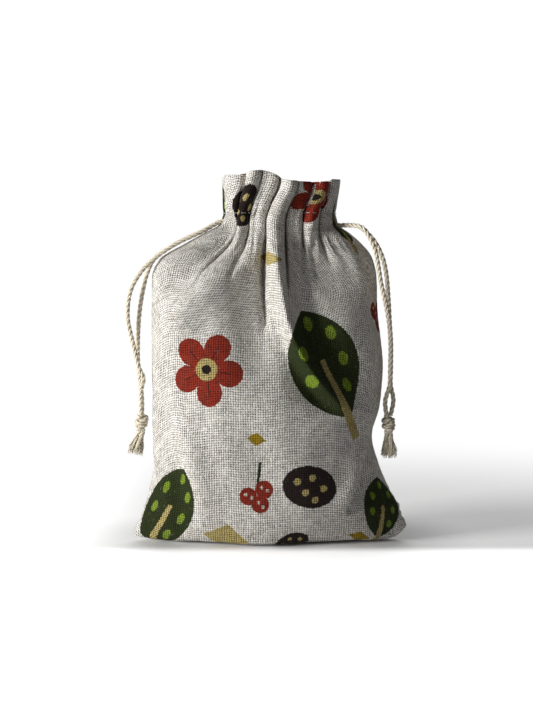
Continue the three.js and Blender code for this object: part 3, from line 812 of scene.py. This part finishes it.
knot_pieces, tail_pieces = {}, {}
for number, (side, facts) in enumerate(knots.items()):
    ends = (leg_paths[side, "front"][-1] + leg_paths[side, "back"][-1]) / 2
    centre = ends - [0, 0, knot_height / 2 - cord_width / 2]
    points, faces, uvs = joined(knot_parts(facts["lean"], 2.2 + number))
    knot_pieces[side] = add_mesh(f"{side}_knot", points + centre, faces, {"strand": uvs})
    parts = []
    for i, (lean, out) in enumerate(facts["tails"]):
        parts += tail_parts(tail_sides[i], lean, out, 31 + 10 * number + i)
    points, faces, uvs = joined(parts)
    tail_pieces[side] = add_mesh(f"{side}_tails", points + centre, faces, {"strand": uvs})
    print(side, "knot and tails:", len(knot_pieces[side].data.polygons) + len(faces), "faces")

# %% [markdown]
# All of a cord's pieces are attached to the root, and they take the place of the model's cord.

for (side, which), leg in legs.items():
    path = leg_paths[side, which] / 1000
    on_it = [knot_pieces[side], tail_pieces[side]] if which == "front" else []
for side in knots:
    ends = (legs[side, "front"], legs[side, "back"])
    for piece in (*ends, loops[side], knot_pieces[side], tail_pieces[side]):
        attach(piece, "root")
        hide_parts(f"{side}_cord")
print("cord pieces:", len(legs) + len(loops) + len(knot_pieces) + len(tail_pieces))

# %% [markdown]
# ## The cloth
#
# The cloth is one closed shell. It starts under the pouch, comes up the outside ring by ring, rolls
# over the top edge, where the cloth is folded, and goes down inside as the hem and then as the wrong
# side of the cloth. Two UV maps go with it. "print" is the flat cloth, so the pattern is drawn
# together at the neck as the real one is. "weave" is measured along the surface itself, so that the
# threads keep their thickness everywhere. The rings are 1.1 mm apart on the body, and closer from
# just below the shoulders up, where the gathers are.

# %% Heights of the rings
outer_heights = np.concatenate([
    [0, 0.35, 0.8, 1.4, 2.1, 3],
    np.linspace(3.8, 112, 98),
    np.linspace(112.8, top_height, 72),
])
inner_heights = np.concatenate([
    np.linspace(top_height - 0.6, channel_height + 4, 22),
    np.linspace(channel_height + 3, channel_height - hem_end, 14),
    np.linspace(channel_height - hem_end - 1.5, 20, 34),
    [14, 9, 6, corner_height + cloth_thickness],
])
outer_rows = [ring_at(z) for z in outer_heights]
inner_rows = [inner_ring(z) for z in inner_heights]
rim_count = 5


def rim_rows(outside, inside):
    """Rows that roll over the top edge, from the outside to the inside."""
    middle, half = (outside + inside) / 2, (outside - inside) / 2
    thick = np.linalg.norm(half, axis=1)
    rows = []
    for a in np.linspace(0, math.pi, rim_count + 2)[1:-1]:
        row = middle + half * math.cos(a)
        row[:, 2] += thick * math.sin(a)
        rows.append(row)
    return rows


def cap_rows(ring, shares, shorter=0.72):
    """Rows that draw a ring in to its middle line, to close it."""
    line = ring.copy()
    line[:, 0] *= shorter
    line[:, 1] = ring[:, 1].mean()
    return [mix(ring, line, s) for s in shares]


under_rows = cap_rows(outer_rows[0], (0.9, 0.6, 0.3))
floor_rows = cap_rows(inner_rows[-1], (0.3, 0.6, 0.9))
rows = [*under_rows, *outer_rows, *rim_rows(outer_rows[-1], inner_rows[0]), *inner_rows, *floor_rows]
grid = np.array(rows) + cloth_shift
first_outer, top_row = len(under_rows), len(under_rows) + len(outer_rows)
print("rings:", len(rows), "points:", grid.shape[0] * grid.shape[1])

# %% [markdown]
# For the woven threads each column is measured from the middle of its side, front or back, so the
# left and the right end of a face have their own values where the two sides meet at a seam. For the
# print the cloth is laid flat: across from the left seam, and up from the middle of the bottom.


# %% Flat cloth and woven threads
def lengths_round(grid):
    """How far each column is from the middle of its side, measured along the cloth."""
    steps = np.linalg.norm(np.roll(grid, -1, axis=1) - grid, axis=2)
    run = np.concatenate([np.zeros((len(grid), 1)), np.cumsum(steps, axis=1)], axis=1)
    left, right = run[:, :-1].copy(), run[:, 1:].copy()
    for start, stop in ((0, front_columns), (front_columns, columns)):
        middle = run[:, (start + stop) // 2][:, None]
        left[:, start:stop] -= middle
        right[:, start:stop] -= middle
    return left, right


def lengths_up(grid):
    steps = np.linalg.norm(np.diff(grid, axis=0), axis=2)
    return np.concatenate([np.zeros((1, grid.shape[1])), np.cumsum(steps, axis=0)])


round_left, round_right = lengths_round(grid)
up = lengths_up(grid)
flat_up = np.repeat(up.mean(axis=1)[:, None], columns, axis=1)
flat_left = np.repeat(column_across[None, :], len(grid), axis=0)
flat_right = np.roll(flat_left, -1, axis=1)
flat_right[:, -1] = cloth_round
top_up = flat_up[top_row].mean()
print("cloth from the middle of the bottom to the top edge:", round(float(top_up), 1), "mm")

# %% [markdown]
# The rows become one mesh of four-sided faces, closed by a fan at each end. From the end of the hem
# inwards its faces show the wrong side of the cloth, where the print is only the plain weave.


# %% The cloth's mesh
def grid_faces(rows_count):
    faces = []
    for r in range(rows_count - 1):
        low, high = r * columns, (r + 1) * columns
        for c in range(columns):
            n = (c + 1) % columns
            faces.append((low + c, low + n, high + n, high + c))
    return faces


def corner_values(left, right, ups):
    """UVs of each face's four corners, in the order that grid_faces gives them."""
    uv = np.zeros((len(left) - 1, columns, 4, 2))
    uv[:, :, 0, 0], uv[:, :, 1, 0] = left[:-1], right[:-1]
    uv[:, :, 2, 0], uv[:, :, 3, 0] = right[1:], left[1:]
    next_up = np.roll(ups, -1, axis=1)
    uv[:, :, 0, 1], uv[:, :, 1, 1] = ups[:-1], next_up[:-1]
    uv[:, :, 2, 1], uv[:, :, 3, 1] = next_up[1:], ups[1:]
    return uv.reshape(-1, 2)


faces = grid_faces(len(grid))
points = np.concatenate([grid.reshape(-1, 3), grid[:1].mean(1), grid[-1:].mean(1)])
last = (len(grid) - 1) * columns
caps = []
for c in range(columns):
    n = (c + 1) % columns
    caps.append((len(points) - 2, n, c))
    caps.append((len(points) - 1, last + c, last + n))
cap_uv = np.zeros((len(caps) * 3, 2))
cloth = add_mesh("pouch", points, faces + caps, {
    "weave": np.concatenate([corner_values(round_left, round_right, up), cap_uv]),
    "print": np.concatenate([corner_values(flat_left, flat_right, flat_up), cap_uv]),
})
inside_from = next(i for i, z in enumerate(inner_heights) if z < channel_height - hem_end + 0.01)
inside_row = top_row + rim_count + inside_from
sides_of = np.zeros(len(faces) + len(caps), int)
sides_of[inside_row * columns:len(faces)] = 1
sides_of[len(faces) + 1::2] = 1
print("cloth:", sum(len(p.vertices) - 2 for p in cloth.data.polygons), "triangles")

# %% [markdown]
# ## The cloth's finish
#
# A plain weave is threads that go over and under each other by turns. The finish counts the threads
# from the "weave" map: the whole part of a coordinate is the thread's number, and the rest is the
# place across it. Where the two numbers add up to an even one the upright thread is on top. Linen
# is uneven, so each thread has its own tint and its width wanders. Shade is painted into the colour
# between the threads and down the sides of each round thread.
#
# The nodes are wired by two small helpers, so that a sum reads as a sum: reckoning with a Value adds
# the nodes that do it.


# %% Wiring nodes
class Value:
    """A number or a colour that the nodes of a finish work out."""

    def __init__(self, finish, socket):
        self.finish, self.socket = finish, socket

    def by(self, how, b=0.0, c=0.0):
        return self.finish.add("ShaderNodeMath", {0: self, 1: b, 2: c}, operation=how)

    def __add__(self, other):
        return self.by("ADD", other)

    def __sub__(self, other):
        return self.by("SUBTRACT", other)

    def __rsub__(self, other):
        return self * -1 + other

    def __mul__(self, other):
        return self.by("MULTIPLY", other)

    def __truediv__(self, other):
        return self.by("DIVIDE", other)

    def __abs__(self):
        return self.by("ABSOLUTE")

    def ramp(self, low, high, start=0.0, end=1.0):
        inputs = {"Value": self, "From Min": low, "From Max": high, "To Min": start, "To Max": end}
        return self.finish.add("ShaderNodeMapRange", inputs, interpolation_type="SMOOTHSTEP")

    def painted(self, share, over):
        return self.finish.paint(share, self, over)


class Finish:
    """A material, or the world, whose nodes are wired by plain calls."""

    def __init__(self, owner):
        self.owner = owner
        owner.use_nodes = True
        self.tree = owner.node_tree
        self.shader = self.tree.nodes.get("Principled BSDF")

    def add(self, kind, inputs=(), output=0, **settings):
        node = self.tree.nodes.new(kind)
        for key, value in settings.items():
            setattr(node, key, value)
        for key, value in dict(inputs).items():
            self.give(node.inputs[key], value)
        return Value(self, node.outputs[output])

    def give(self, socket, value):
        value = getattr(value, "socket", value)
        if isinstance(value, bpy.types.NodeSocket):
            self.tree.links.new(value, socket)
        else:
            socket.default_value = value

    def noise(self, vector, scale, detail=2.0, output=0):
        inputs = {"Vector": vector, "Scale": scale, "Detail": detail}
        return self.add("ShaderNodeTexNoise", inputs, output, noise_dimensions="2D")

    def paint(self, share, under, over, how="MIX"):
        inputs = {0: share, 6: under, 7: over}
        return self.add("ShaderNodeMix", inputs, output=2, data_type="RGBA", blend_type=how)

    def parts(self, vector):
        node = self.tree.nodes.new("ShaderNodeSeparateXYZ")
        self.give(node.inputs[0], vector)
        return [Value(self, part) for part in node.outputs]

    def whole(self, x, y):
        return self.add("ShaderNodeCombineXYZ", {0: x, 1: y})

    def vector(self, how, inputs):
        return self.add("ShaderNodeVectorMath", inputs, operation=how)

    def map_of(self, name):
        return self.add("ShaderNodeUVMap", uv_map=name)

    def rays(self, *kinds):
        """1 for a ray of one of these kinds, and 0 for any other."""
        share = 0.0
        for kind in kinds:
            share = self.add("ShaderNodeLightPath", output=kind).by("MAXIMUM", share)
        return share

    # Paints shade: a colour multiplied by a grey.
    def paint_shade_over(self, base, shade):
        grey = self.add("ShaderNodeCombineColor", {0: shade, 1: shade, 2: shade})
        return self.paint(1.0, base, grey, "MULTIPLY")

    def surface(self, base, roughness, gloss, height=None, relief=0.0, strength=1.0):
        """Give the shader its colour and its gloss and, from a height, its relief in metres."""
        self.give(self.shader.inputs["Base Color"], base)
        self.give(self.shader.inputs["Roughness"], roughness)
        self.give(self.shader.inputs["Specular IOR Level"], gloss)
        if height is not None:
            inputs = {"Height": height, "Distance": relief, "Strength": strength}
            self.give(self.shader.inputs["Normal"], self.add("ShaderNodeBump", inputs))


def new_finish(name):
    return Finish(bpy.data.materials.new(name))


def colour(red, green, blue):
    """A colour written as it looks on a screen, from 0 to 255, as the shader wants it."""
    values = [v / 255 for v in (red, green, blue)]
    return (*[v / 12.92 if v <= 0.04045 else ((v + 0.055) / 1.055) ** 2.4 for v in values], 1)


print("finishes are ready to be wired")

# %% [markdown]
# ## The weave
#
# Each of the two sets of threads is wired in the same way, with the parts of across and along
# exchanged. A thread is round in section and bends up where it goes over the other set. Its width,
# its place and its tint come from a noise that is stretched along it, as a slub in the yarn is.

# %% Weave
thread_pitch = 1.08
thread_width, width_spread, least_width = 0.11, 0.52, 0.24
thread_shift = 0.28
bend_height, body_height = 0.3, 0.55
fuzz_height = 0.5
thread_wander = 0.8
slub_apart, slub_rate = 7.31, 0.22


def weave(finish):
    """The height of the threads, from 0 to 1, and a tint for each thread."""
    where = finish.map_of("weave")
    wander = finish.noise(where, 0.09, 3.0) * thread_wander - thread_wander / 2
    x, y = finish.parts(where)[:2]
    x, y = x / thread_pitch + wander, y / thread_pitch - wander
    ix, iy = x.by("FLOOR"), y.by("FLOOR")
    fx, fy = x - ix - 0.5, y - iy - 0.5
    over = (ix + iy).by("FLOORED_MODULO", 2) * 2 - 1
    heights, tints = [], []
    for number, along, far, way, cross in ((ix, y, fx, 1, fy), (iy, x, fy, -1, fx)):
        slub = finish.noise(finish.whole(number * slub_apart, along * slub_rate), 1.0, output=1)
        thick, shift, tint = finish.parts(slub)
        wide = (thick * width_spread + thread_width).by("MAXIMUM", least_width)
        side = (far + shift * thread_shift - thread_shift / 2) / wide
        body = (1 - side * side).by("MAXIMUM", 0).by("SQRT")
        bend = (cross * math.pi).by("COSINE") * over * (way * bend_height)
        heights.append(body * body_height + bend * body)
        tints.append(tint)
    top = heights[0].by("MAXIMUM", heights[1])
    upright = heights[0].by("GREATER_THAN", heights[1])
    tint = finish.add("ShaderNodeMix", {0: upright, 2: tints[1], 3: tints[0]}, data_type="FLOAT")
    return top + (finish.noise(where, 1.7) * fuzz_height - fuzz_height / 2), tint


linen = new_finish("printed_linen")
thread_height, thread_tint = weave(linen)
print("threads to the centimetre:", round(10 / thread_pitch, 1))

# %% [markdown]
# ## The print
#
# The cloth is printed with a scatter of simple garden shapes: leaves with light spots, five-petalled
# flowers, dark pebbles, berries and small diamonds. Each shape is worked out from the distance to
# its middle on the flat cloth, and the whole scatter repeats like a printed cloth's does. A little
# noise in the coordinates makes the edges follow the rough threads.

# %% Shapes of the print
repeat_across, repeat_up = 130.0, 205.0
edge_soft = 0.22


def local(where, across, up, turn):
    """Coordinates about a shape's middle, which come round again with the repeat of the print."""
    finish = where.finish
    moved = finish.vector("SUBTRACT", {0: where, 1: (across, up, 0)})
    half = (repeat_across / 2, repeat_up / 2, 1)
    low = (-repeat_across / 2, -repeat_up / 2, -1)
    moved = finish.vector("WRAP", {0: moved, 1: half, 2: low})
    inputs = {"Vector": moved, "Angle": math.radians(turn)}
    moved = finish.add("ShaderNodeVectorRotate", inputs, rotation_type="Z_AXIS")
    return finish.parts(moved)[:2]


def distance(x, y):
    return (x * x + y * y).by("SQRT")


def inside(past):
    """1 within an edge and 0 past it."""
    return past.ramp(edge_soft, -edge_soft)


def oval(spot, cx, cy, rx, ry):
    x, y = spot
    return inside((distance((x - cx) / rx, (y - cy) / ry) - 1) * min(rx, ry))


def dots(spot, size, places, rx, ry):
    """Equal ovals as one shape, with their places and radii as shares of its size."""
    share = 0.0
    for cx, cy in places:
        share = oval(spot, cx * size, cy * size, rx * size, ry * size).by("MAXIMUM", share)
    return share


dark_green = colour(42, 52, 17)
lime = colour(126, 150, 44)
brick = colour(146, 46, 28)
near_black = colour(33, 20, 16)
ochre = colour(190, 172, 112)
mustard = colour(164, 136, 32)
pale = colour(214, 208, 196)

leaf_spots = ((0.26, 0.38), (-0.25, 0.3), (0.3, -0.04), (-0.29, -0.12), (0.02, 0.62), (0.21, -0.42))
pebble_spots = ((-0.5, 0.1), (0, 0.36), (0.5, 0.06), (-0.12, -0.22), (0.3, -0.42))
berry_places = ((-0.48, 0), (0.5, 0.16), (0.05, -0.62))
berry_spots = ((-0.6, 0.14), (-0.3, -0.1), (0.38, 0.3), (0.66, 0.06), (0, -0.48), (0.16, -0.8))


def leaf(base, spot, size):
    x, y = spot
    base = base.painted(inside(distance(abs(x) + size * 0.42, y) - size * 0.93), dark_green)
    rib = inside(abs(x) - (y * -0.03 + size * 0.045))
    low = (y + size * 0.55).by("COMPARE", 0, size * 0.62)
    return base.painted(rib * low, ochre).painted(dots(spot, size, leaf_spots, 0.065, 0.105), lime)


def flower(base, spot, size):
    x, y = spot
    far, turn = distance(x, y), y.by("ARCTAN2", x) * 2.5
    edge = abs(turn.by("COSINE")).by("POWER", 0.6) * (size * 0.52) + size * 0.48
    base = base.painted(inside(far - edge), brick)
    vein = abs(turn.by("SINE")).ramp(0.10, 0.04) * far.ramp(size * 0.7, size * 0.64)
    base = base.painted(vein, near_black).painted(inside(far - size * 0.3), ochre)
    return base.painted(inside(far - size * 0.13), near_black)


def pebble(base, spot, size):
    base = base.painted(oval(spot, 0, 0, size, size * 0.78), near_black)
    return base.painted(dots(spot, size, pebble_spots, 0.13, 0.13), ochre)


def berries(base, spot, size):
    x, y = spot
    stalk = inside(abs(y * -0.4 + x) - 0.7) * y.by("COMPARE", size * 0.9, size * 0.8)
    base = base.painted(stalk, dark_green)
    base = base.painted(dots(spot, size, berry_places, 0.5, 0.52), brick)
    return base.painted(dots(spot, size, berry_spots, 0.08, 0.1), pale)


def diamond(base, spot, size, paint):
    x, y = spot
    return base.painted(inside(abs(y) * 1.5 + abs(x) - size), paint)


print("repeat of the print:", repeat_across, "by", repeat_up, "mm")

# %% [markdown]
# The scatter is laid out so that no two shapes of a kind lie side by side. A shape's place is given
# across the cloth from the left side seam and up it from the bottom fold, with its turn and size.

# %% Lay out the print
flat = linen.map_of("print")
rough_scale, rough_reach = 0.9, 1.1
rough = linen.noise(flat, rough_scale, output=1)
rough = linen.vector("SUBTRACT", {0: rough, 1: (0.5, 0.5, 0.5)})
rough = linen.vector("SCALE", {0: rough, "Scale": rough_reach})
printed = linen.vector("ADD", {0: flat, 1: rough})

tint_share = thread_tint.ramp(0.3, 0.7)
bare = linen.paint(tint_share, colour(218, 212, 202), colour(244, 240, 234))
patterned = bare
for shape, across, up_cloth, turn, size in (
    (leaf, 92, 101, -24, 32),
    (leaf, 17, 34, 26, 26),
    (flower, 37, 99, 10, 17),
    (pebble, 84, 46, 14, 12.5),
    (pebble, 76, 17, -20, 8),
    (berries, 60, 43, -15, 8),
    (berries, 125, 124, 10, 8),
    (leaf, 119, 34, 12, 17),
    (flower, 88, 182, 20, 13),
    (pebble, 38, 176, 8, 11),
    (leaf, 120, 172, 14, 17),
):
    patterned = shape(patterned, local(printed, across, up_cloth, turn), size)
diamonds = ((60, 68, 4.5, mustard), (46, 21, 11, ochre), (108, 20, 5, mustard), (66, 150, 6, ochre))
for across, up_cloth, size, paint in diamonds:
    patterned = diamond(patterned, local(printed, across, up_cloth, 8), size, paint)
print("nodes in the linen:", len(linen.tree.nodes))

# %% [markdown]
# The dye sits on the tops of the threads, so a little of the bare thread shows through it. Then
# shade is painted by the thread height, dark in the gaps and on the sides of the threads, and the
# same thread height drives the relief.

# %% Finish the linen
linen_roughness, linen_gloss = 0.92, 0.25
thread_relief, relief_strength = 0.00045, 0.8
painted_gap_shade = 0.08


# Painted shade: the colour is darkened where the thread height is low, in the gaps and down the
# thread sides.
def woven(finish, base, height):
    colour_with_painted_shade = finish.paint_shade_over(base, height.ramp(0.08, 0.70, painted_gap_shade, 1.0))
    finish.surface(colour_with_painted_shade, linen_roughness, linen_gloss, height, thread_relief, relief_strength)


cover = thread_tint.ramp(0.2, 0.34, 0.93, 1.0)
woven(linen, linen.paint(cover, bare, patterned), thread_height)

wrong_side = new_finish("linen_wrong_side")
wrong_height, wrong_tint = weave(wrong_side)
plain = wrong_side.paint(wrong_tint.ramp(0.3, 0.7), colour(200, 194, 183), colour(230, 226, 218))
woven(wrong_side, plain, wrong_height)
for finish in (linen, wrong_side):
    cloth.data.materials.append(finish.owner)
cloth.data.polygons.foreach_set("material_index", sides_of.tolist())
print("finishes on the cloth:", [m.name for m in cloth.data.materials])

# %% [markdown]
# ## The stitches
#
# Two lines of white machine stitches hold the hem down, one above the channel and one below it. One
# stitch is modelled as a small capsule with rounded ends, and it is then copied along the cloth.

# %% One stitch
stitch_length, stitch_gap, stitch_width, stitch_lift = 2.4, 0.9, 0.34, 0.16
bpy.ops.object.select_all(action="DESELECT")
bpy.ops.mesh.primitive_cylinder_add(
    vertices=6, radius=stitch_width / 2000, depth=stitch_length / 1000
)
one_stitch = bpy.context.object
one_stitch.name = "one_stitch"
bpy.ops.object.mode_set(mode="EDIT")
bpy.ops.mesh.select_all(action="SELECT")
bpy.ops.transform.rotate(value=math.pi / 2, orient_axis="Y", center_override=(0, 0, 0))
bpy.ops.mesh.bevel(offset=stitch_width / 3200, segments=1, affect="EDGES")
bpy.ops.object.mode_set(mode="OBJECT")
stitch_points = np.array([v.co for v in one_stitch.data.vertices]) * 1000
stitch_faces = [tuple(p.vertices) for p in one_stitch.data.polygons]
bpy.data.objects.remove(one_stitch)
print("one stitch:", len(stitch_faces), "faces,", np.ptp(stitch_points, axis=0).round(2), "mm")

# %% Rows of stitches
look_ahead = 0.8


def stitch_row(name, ring, outward):
    """One object with a stitch at each even step along a ring, lying on the cloth."""
    closed = np.vstack([ring, ring[:1]])
    closed_out = np.vstack([outward, outward[:1]])
    run = run_of(closed)
    count = int(run[-1] / (stitch_length + stitch_gap))
    parts = []
    for s in np.arange(count) * run[-1] / count:
        at, out = places_at(s, run, closed), places_at(s, run, closed_out)
        along = places_at((s + look_ahead) % run[-1], run, closed) - at
        along /= np.linalg.norm(along)
        out -= along * np.dot(out, along)
        out /= np.linalg.norm(out)
        turn = np.stack([along, np.cross(out, along), out])
        parts.append((stitch_points @ turn + at + out * stitch_lift, stitch_faces, []))
    points, faces, _ = joined(parts)
    return add_mesh(name, points, faces)


def row_outward(index):
    ahead = np.roll(grid[index], -1, axis=0) - np.roll(grid[index], 1, axis=0)
    rise = grid[index + 1] - grid[index - 1]
    out = np.cross(ahead, rise)
    return out / np.linalg.norm(out, axis=1)[:, None]


stitch_rows = []
for name, height in (("upper_stitches", upper_stitches), ("lower_stitches", lower_stitches)):
    index = first_outer + int(np.abs(outer_heights - height).argmin())
    stitch_rows.append(stitch_row(name, grid[index], row_outward(index)))
    print(name, len(stitch_rows[-1].data.polygons), "faces")

# %% [markdown]
# ## The threads' and the cords' finish
#
# The stitches are smooth white thread. The cords are natural cotton: fibres run along each strand,
# and shade is painted into the grooves between the strands. The cord's own UV map gives the way
# round and the way along, so that the streaks follow the twist.

# %% Finish the threads and cords
thread = new_finish("sewing_thread")
speck = thread.noise(thread.add("ShaderNodeTexCoord", output=3), 3000, 1.0)
tone = thread.paint(speck, colour(196, 191, 182), colour(226, 221, 212))
thread.surface(tone, 0.6, 0.5)
for row in stitch_rows:
    row.data.materials.append(thread.owner)
    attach(row, "root")

cotton_roughness, cotton_gloss = 0.85, 0.3
fibre_relief, fibre_strength = 0.00022, 0.9
cotton = new_finish("cotton_cord")
way_round, way_along = cotton.parts(cotton.map_of("strand"))[:2]
streaks = cotton.noise(cotton.whole(way_round * 26, way_along * 0.55), 1.0, 3.0)
fuzz = cotton.noise(cotton.whole(way_round * 40, way_along), 2.2)
# Painted shade in the grooves between the strands, lighter on their crests.
groove_shade_mask = (way_round * (6 * math.pi)).by("COSINE")
fibre = cotton.paint(streaks, colour(226, 211, 181), colour(252, 245, 229))
colour_with_painted_shade = cotton.paint_shade_over(fibre, groove_shade_mask.ramp(-1.0, 0.0, 0.66, 1.0))
fibres = streaks + fuzz * 0.5
cotton.surface(colour_with_painted_shade, cotton_roughness, cotton_gloss, fibres, fibre_relief, fibre_strength)
for piece in (*legs.values(), *loops.values(), *knot_pieces.values(), *tail_pieces.values()):
    piece.data.materials.append(cotton.owner)
print("cotton on", len(legs) + 6, "pieces")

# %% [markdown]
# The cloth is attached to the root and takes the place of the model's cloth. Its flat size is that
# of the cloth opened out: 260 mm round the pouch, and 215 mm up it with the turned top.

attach(cloth, "root")
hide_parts("pouch_cloth")

# %% [markdown]
# ## The table and the light
#
# The pouch stands on a white table that runs out into white. Near the pouch the table is a plain
# white surface that takes the shadow. Further out it turns into pure white for the camera alone. To
# keep the shadow soft and pale, a painted glow that only the camera sees lightens the table a little
# all round the pouch, and more before it and to its left.

# %% Table
bpy.ops.object.select_all(action="DESELECT")
table_size, table_drop = 6, 0.0003
bpy.ops.mesh.primitive_plane_add(size=table_size, location=(0, 0, -table_drop))
table = bpy.context.object
table.name = "table"
bpy.ops.object.transform_apply(location=True)
clear_across, clear_deep = 0.050, 0.014
white_from, white_at = 0.07, 0.32
tabletop = new_finish("table_top")
tx, ty = tabletop.parts(tabletop.add("ShaderNodeTexCoord", output=3))[:2]
beyond_x = (abs(tx) - clear_across).by("MAXIMUM", 0)
beyond_y = (abs(ty) - clear_deep).by("MAXIMUM", 0)
far = distance(beyond_x, beyond_y)
# Painted glow for the camera: none right at the pouch, a little all round, most before and left of
# it.
painted_glow_strength = far.ramp(0.0, 0.05, 0.0, 0.20) + ty.ramp(-0.014, -0.03, 0.0, 0.55)
painted_glow_strength += tx.ramp(-0.04, -0.1, 0.0, 0.4)
seen = tabletop.rays("Is Camera Ray", "Is Glossy Ray", "Is Transmission Ray")
tabletop.surface((0.9, 0.9, 0.9, 1), 1.0, 0.0)
glow = tabletop.add("ShaderNodeEmission", {"Color": (1, 1, 1, 1), "Strength": 1.0})
painted_floor_glow = tabletop.add("ShaderNodeEmission", {"Color": (1, 1, 1, 1), "Strength": painted_glow_strength * seen})
near = tabletop.add("ShaderNodeAddShader", {0: tabletop.shader.outputs[0], 1: painted_floor_glow})
share = far.ramp(white_from, white_at) * seen
surface = tabletop.add("ShaderNodeMixShader", {0: share, 1: near, 2: glow})
tabletop.give(tabletop.tree.nodes["Material Output"].inputs["Surface"], surface)
table.data.materials.append(tabletop.owner)
print("table size:", [round(v, 1) for v in table.dimensions])

# %% [markdown]
# The camera sees a white world, while the cloth gets only a dim, faintly blue light from it. The
# rest comes from two lamps: a soft one low at the front left, as from a window, and a weaker one
# behind that brings out the top edge.

# %% World
world = Finish(bpy.data.worlds.new("studio"))
bpy.context.scene.world = world.owner
world.tree.nodes.clear()
seen = world.rays("Is Camera Ray", "Is Transmission Ray")
white = world.add("ShaderNodeBackground", {"Color": (1, 1, 1, 1), "Strength": 1.0})
dim = world.add("ShaderNodeBackground", {"Color": (0.97, 0.98, 1.0, 1), "Strength": 0.08})
surface = world.add("ShaderNodeMixShader", {0: seen, 1: dim, 2: white})
world.give(world.tree.nodes.new("ShaderNodeOutputWorld").inputs["Surface"], surface)
print("world ready")

# %% Lamps
lamp_distance = 1.3
lamp_aim = Vector((0, 0, 0.08))


def lamp(name, azimuth, elevation, size, watts, tint=(1, 1, 1)):
    """A square soft lamp that looks at the pouch. Azimuth 0 is the front and -90 the left."""
    data = bpy.data.lights.new(name, "AREA")
    data.shape = "SQUARE"
    data.size = size
    data.energy = watts
    data.color = tint
    source = bpy.data.objects.new(name, data)
    a, e = math.radians(azimuth), math.radians(elevation)
    toward = Vector((math.sin(a) * math.cos(e), -math.cos(a) * math.cos(e), math.sin(e)))
    source.location = lamp_aim + toward * lamp_distance
    source.rotation_euler = (-toward).to_track_quat("-Z", "Y").to_euler()
    bpy.context.scene.collection.objects.link(source)


lamp("window_light", -65, 9, 0.42, 21, (1.0, 0.995, 0.985))
lamp("back_light", 178, 36, 1.0, 7)
bpy.context.scene.view_settings.view_transform = "Standard"
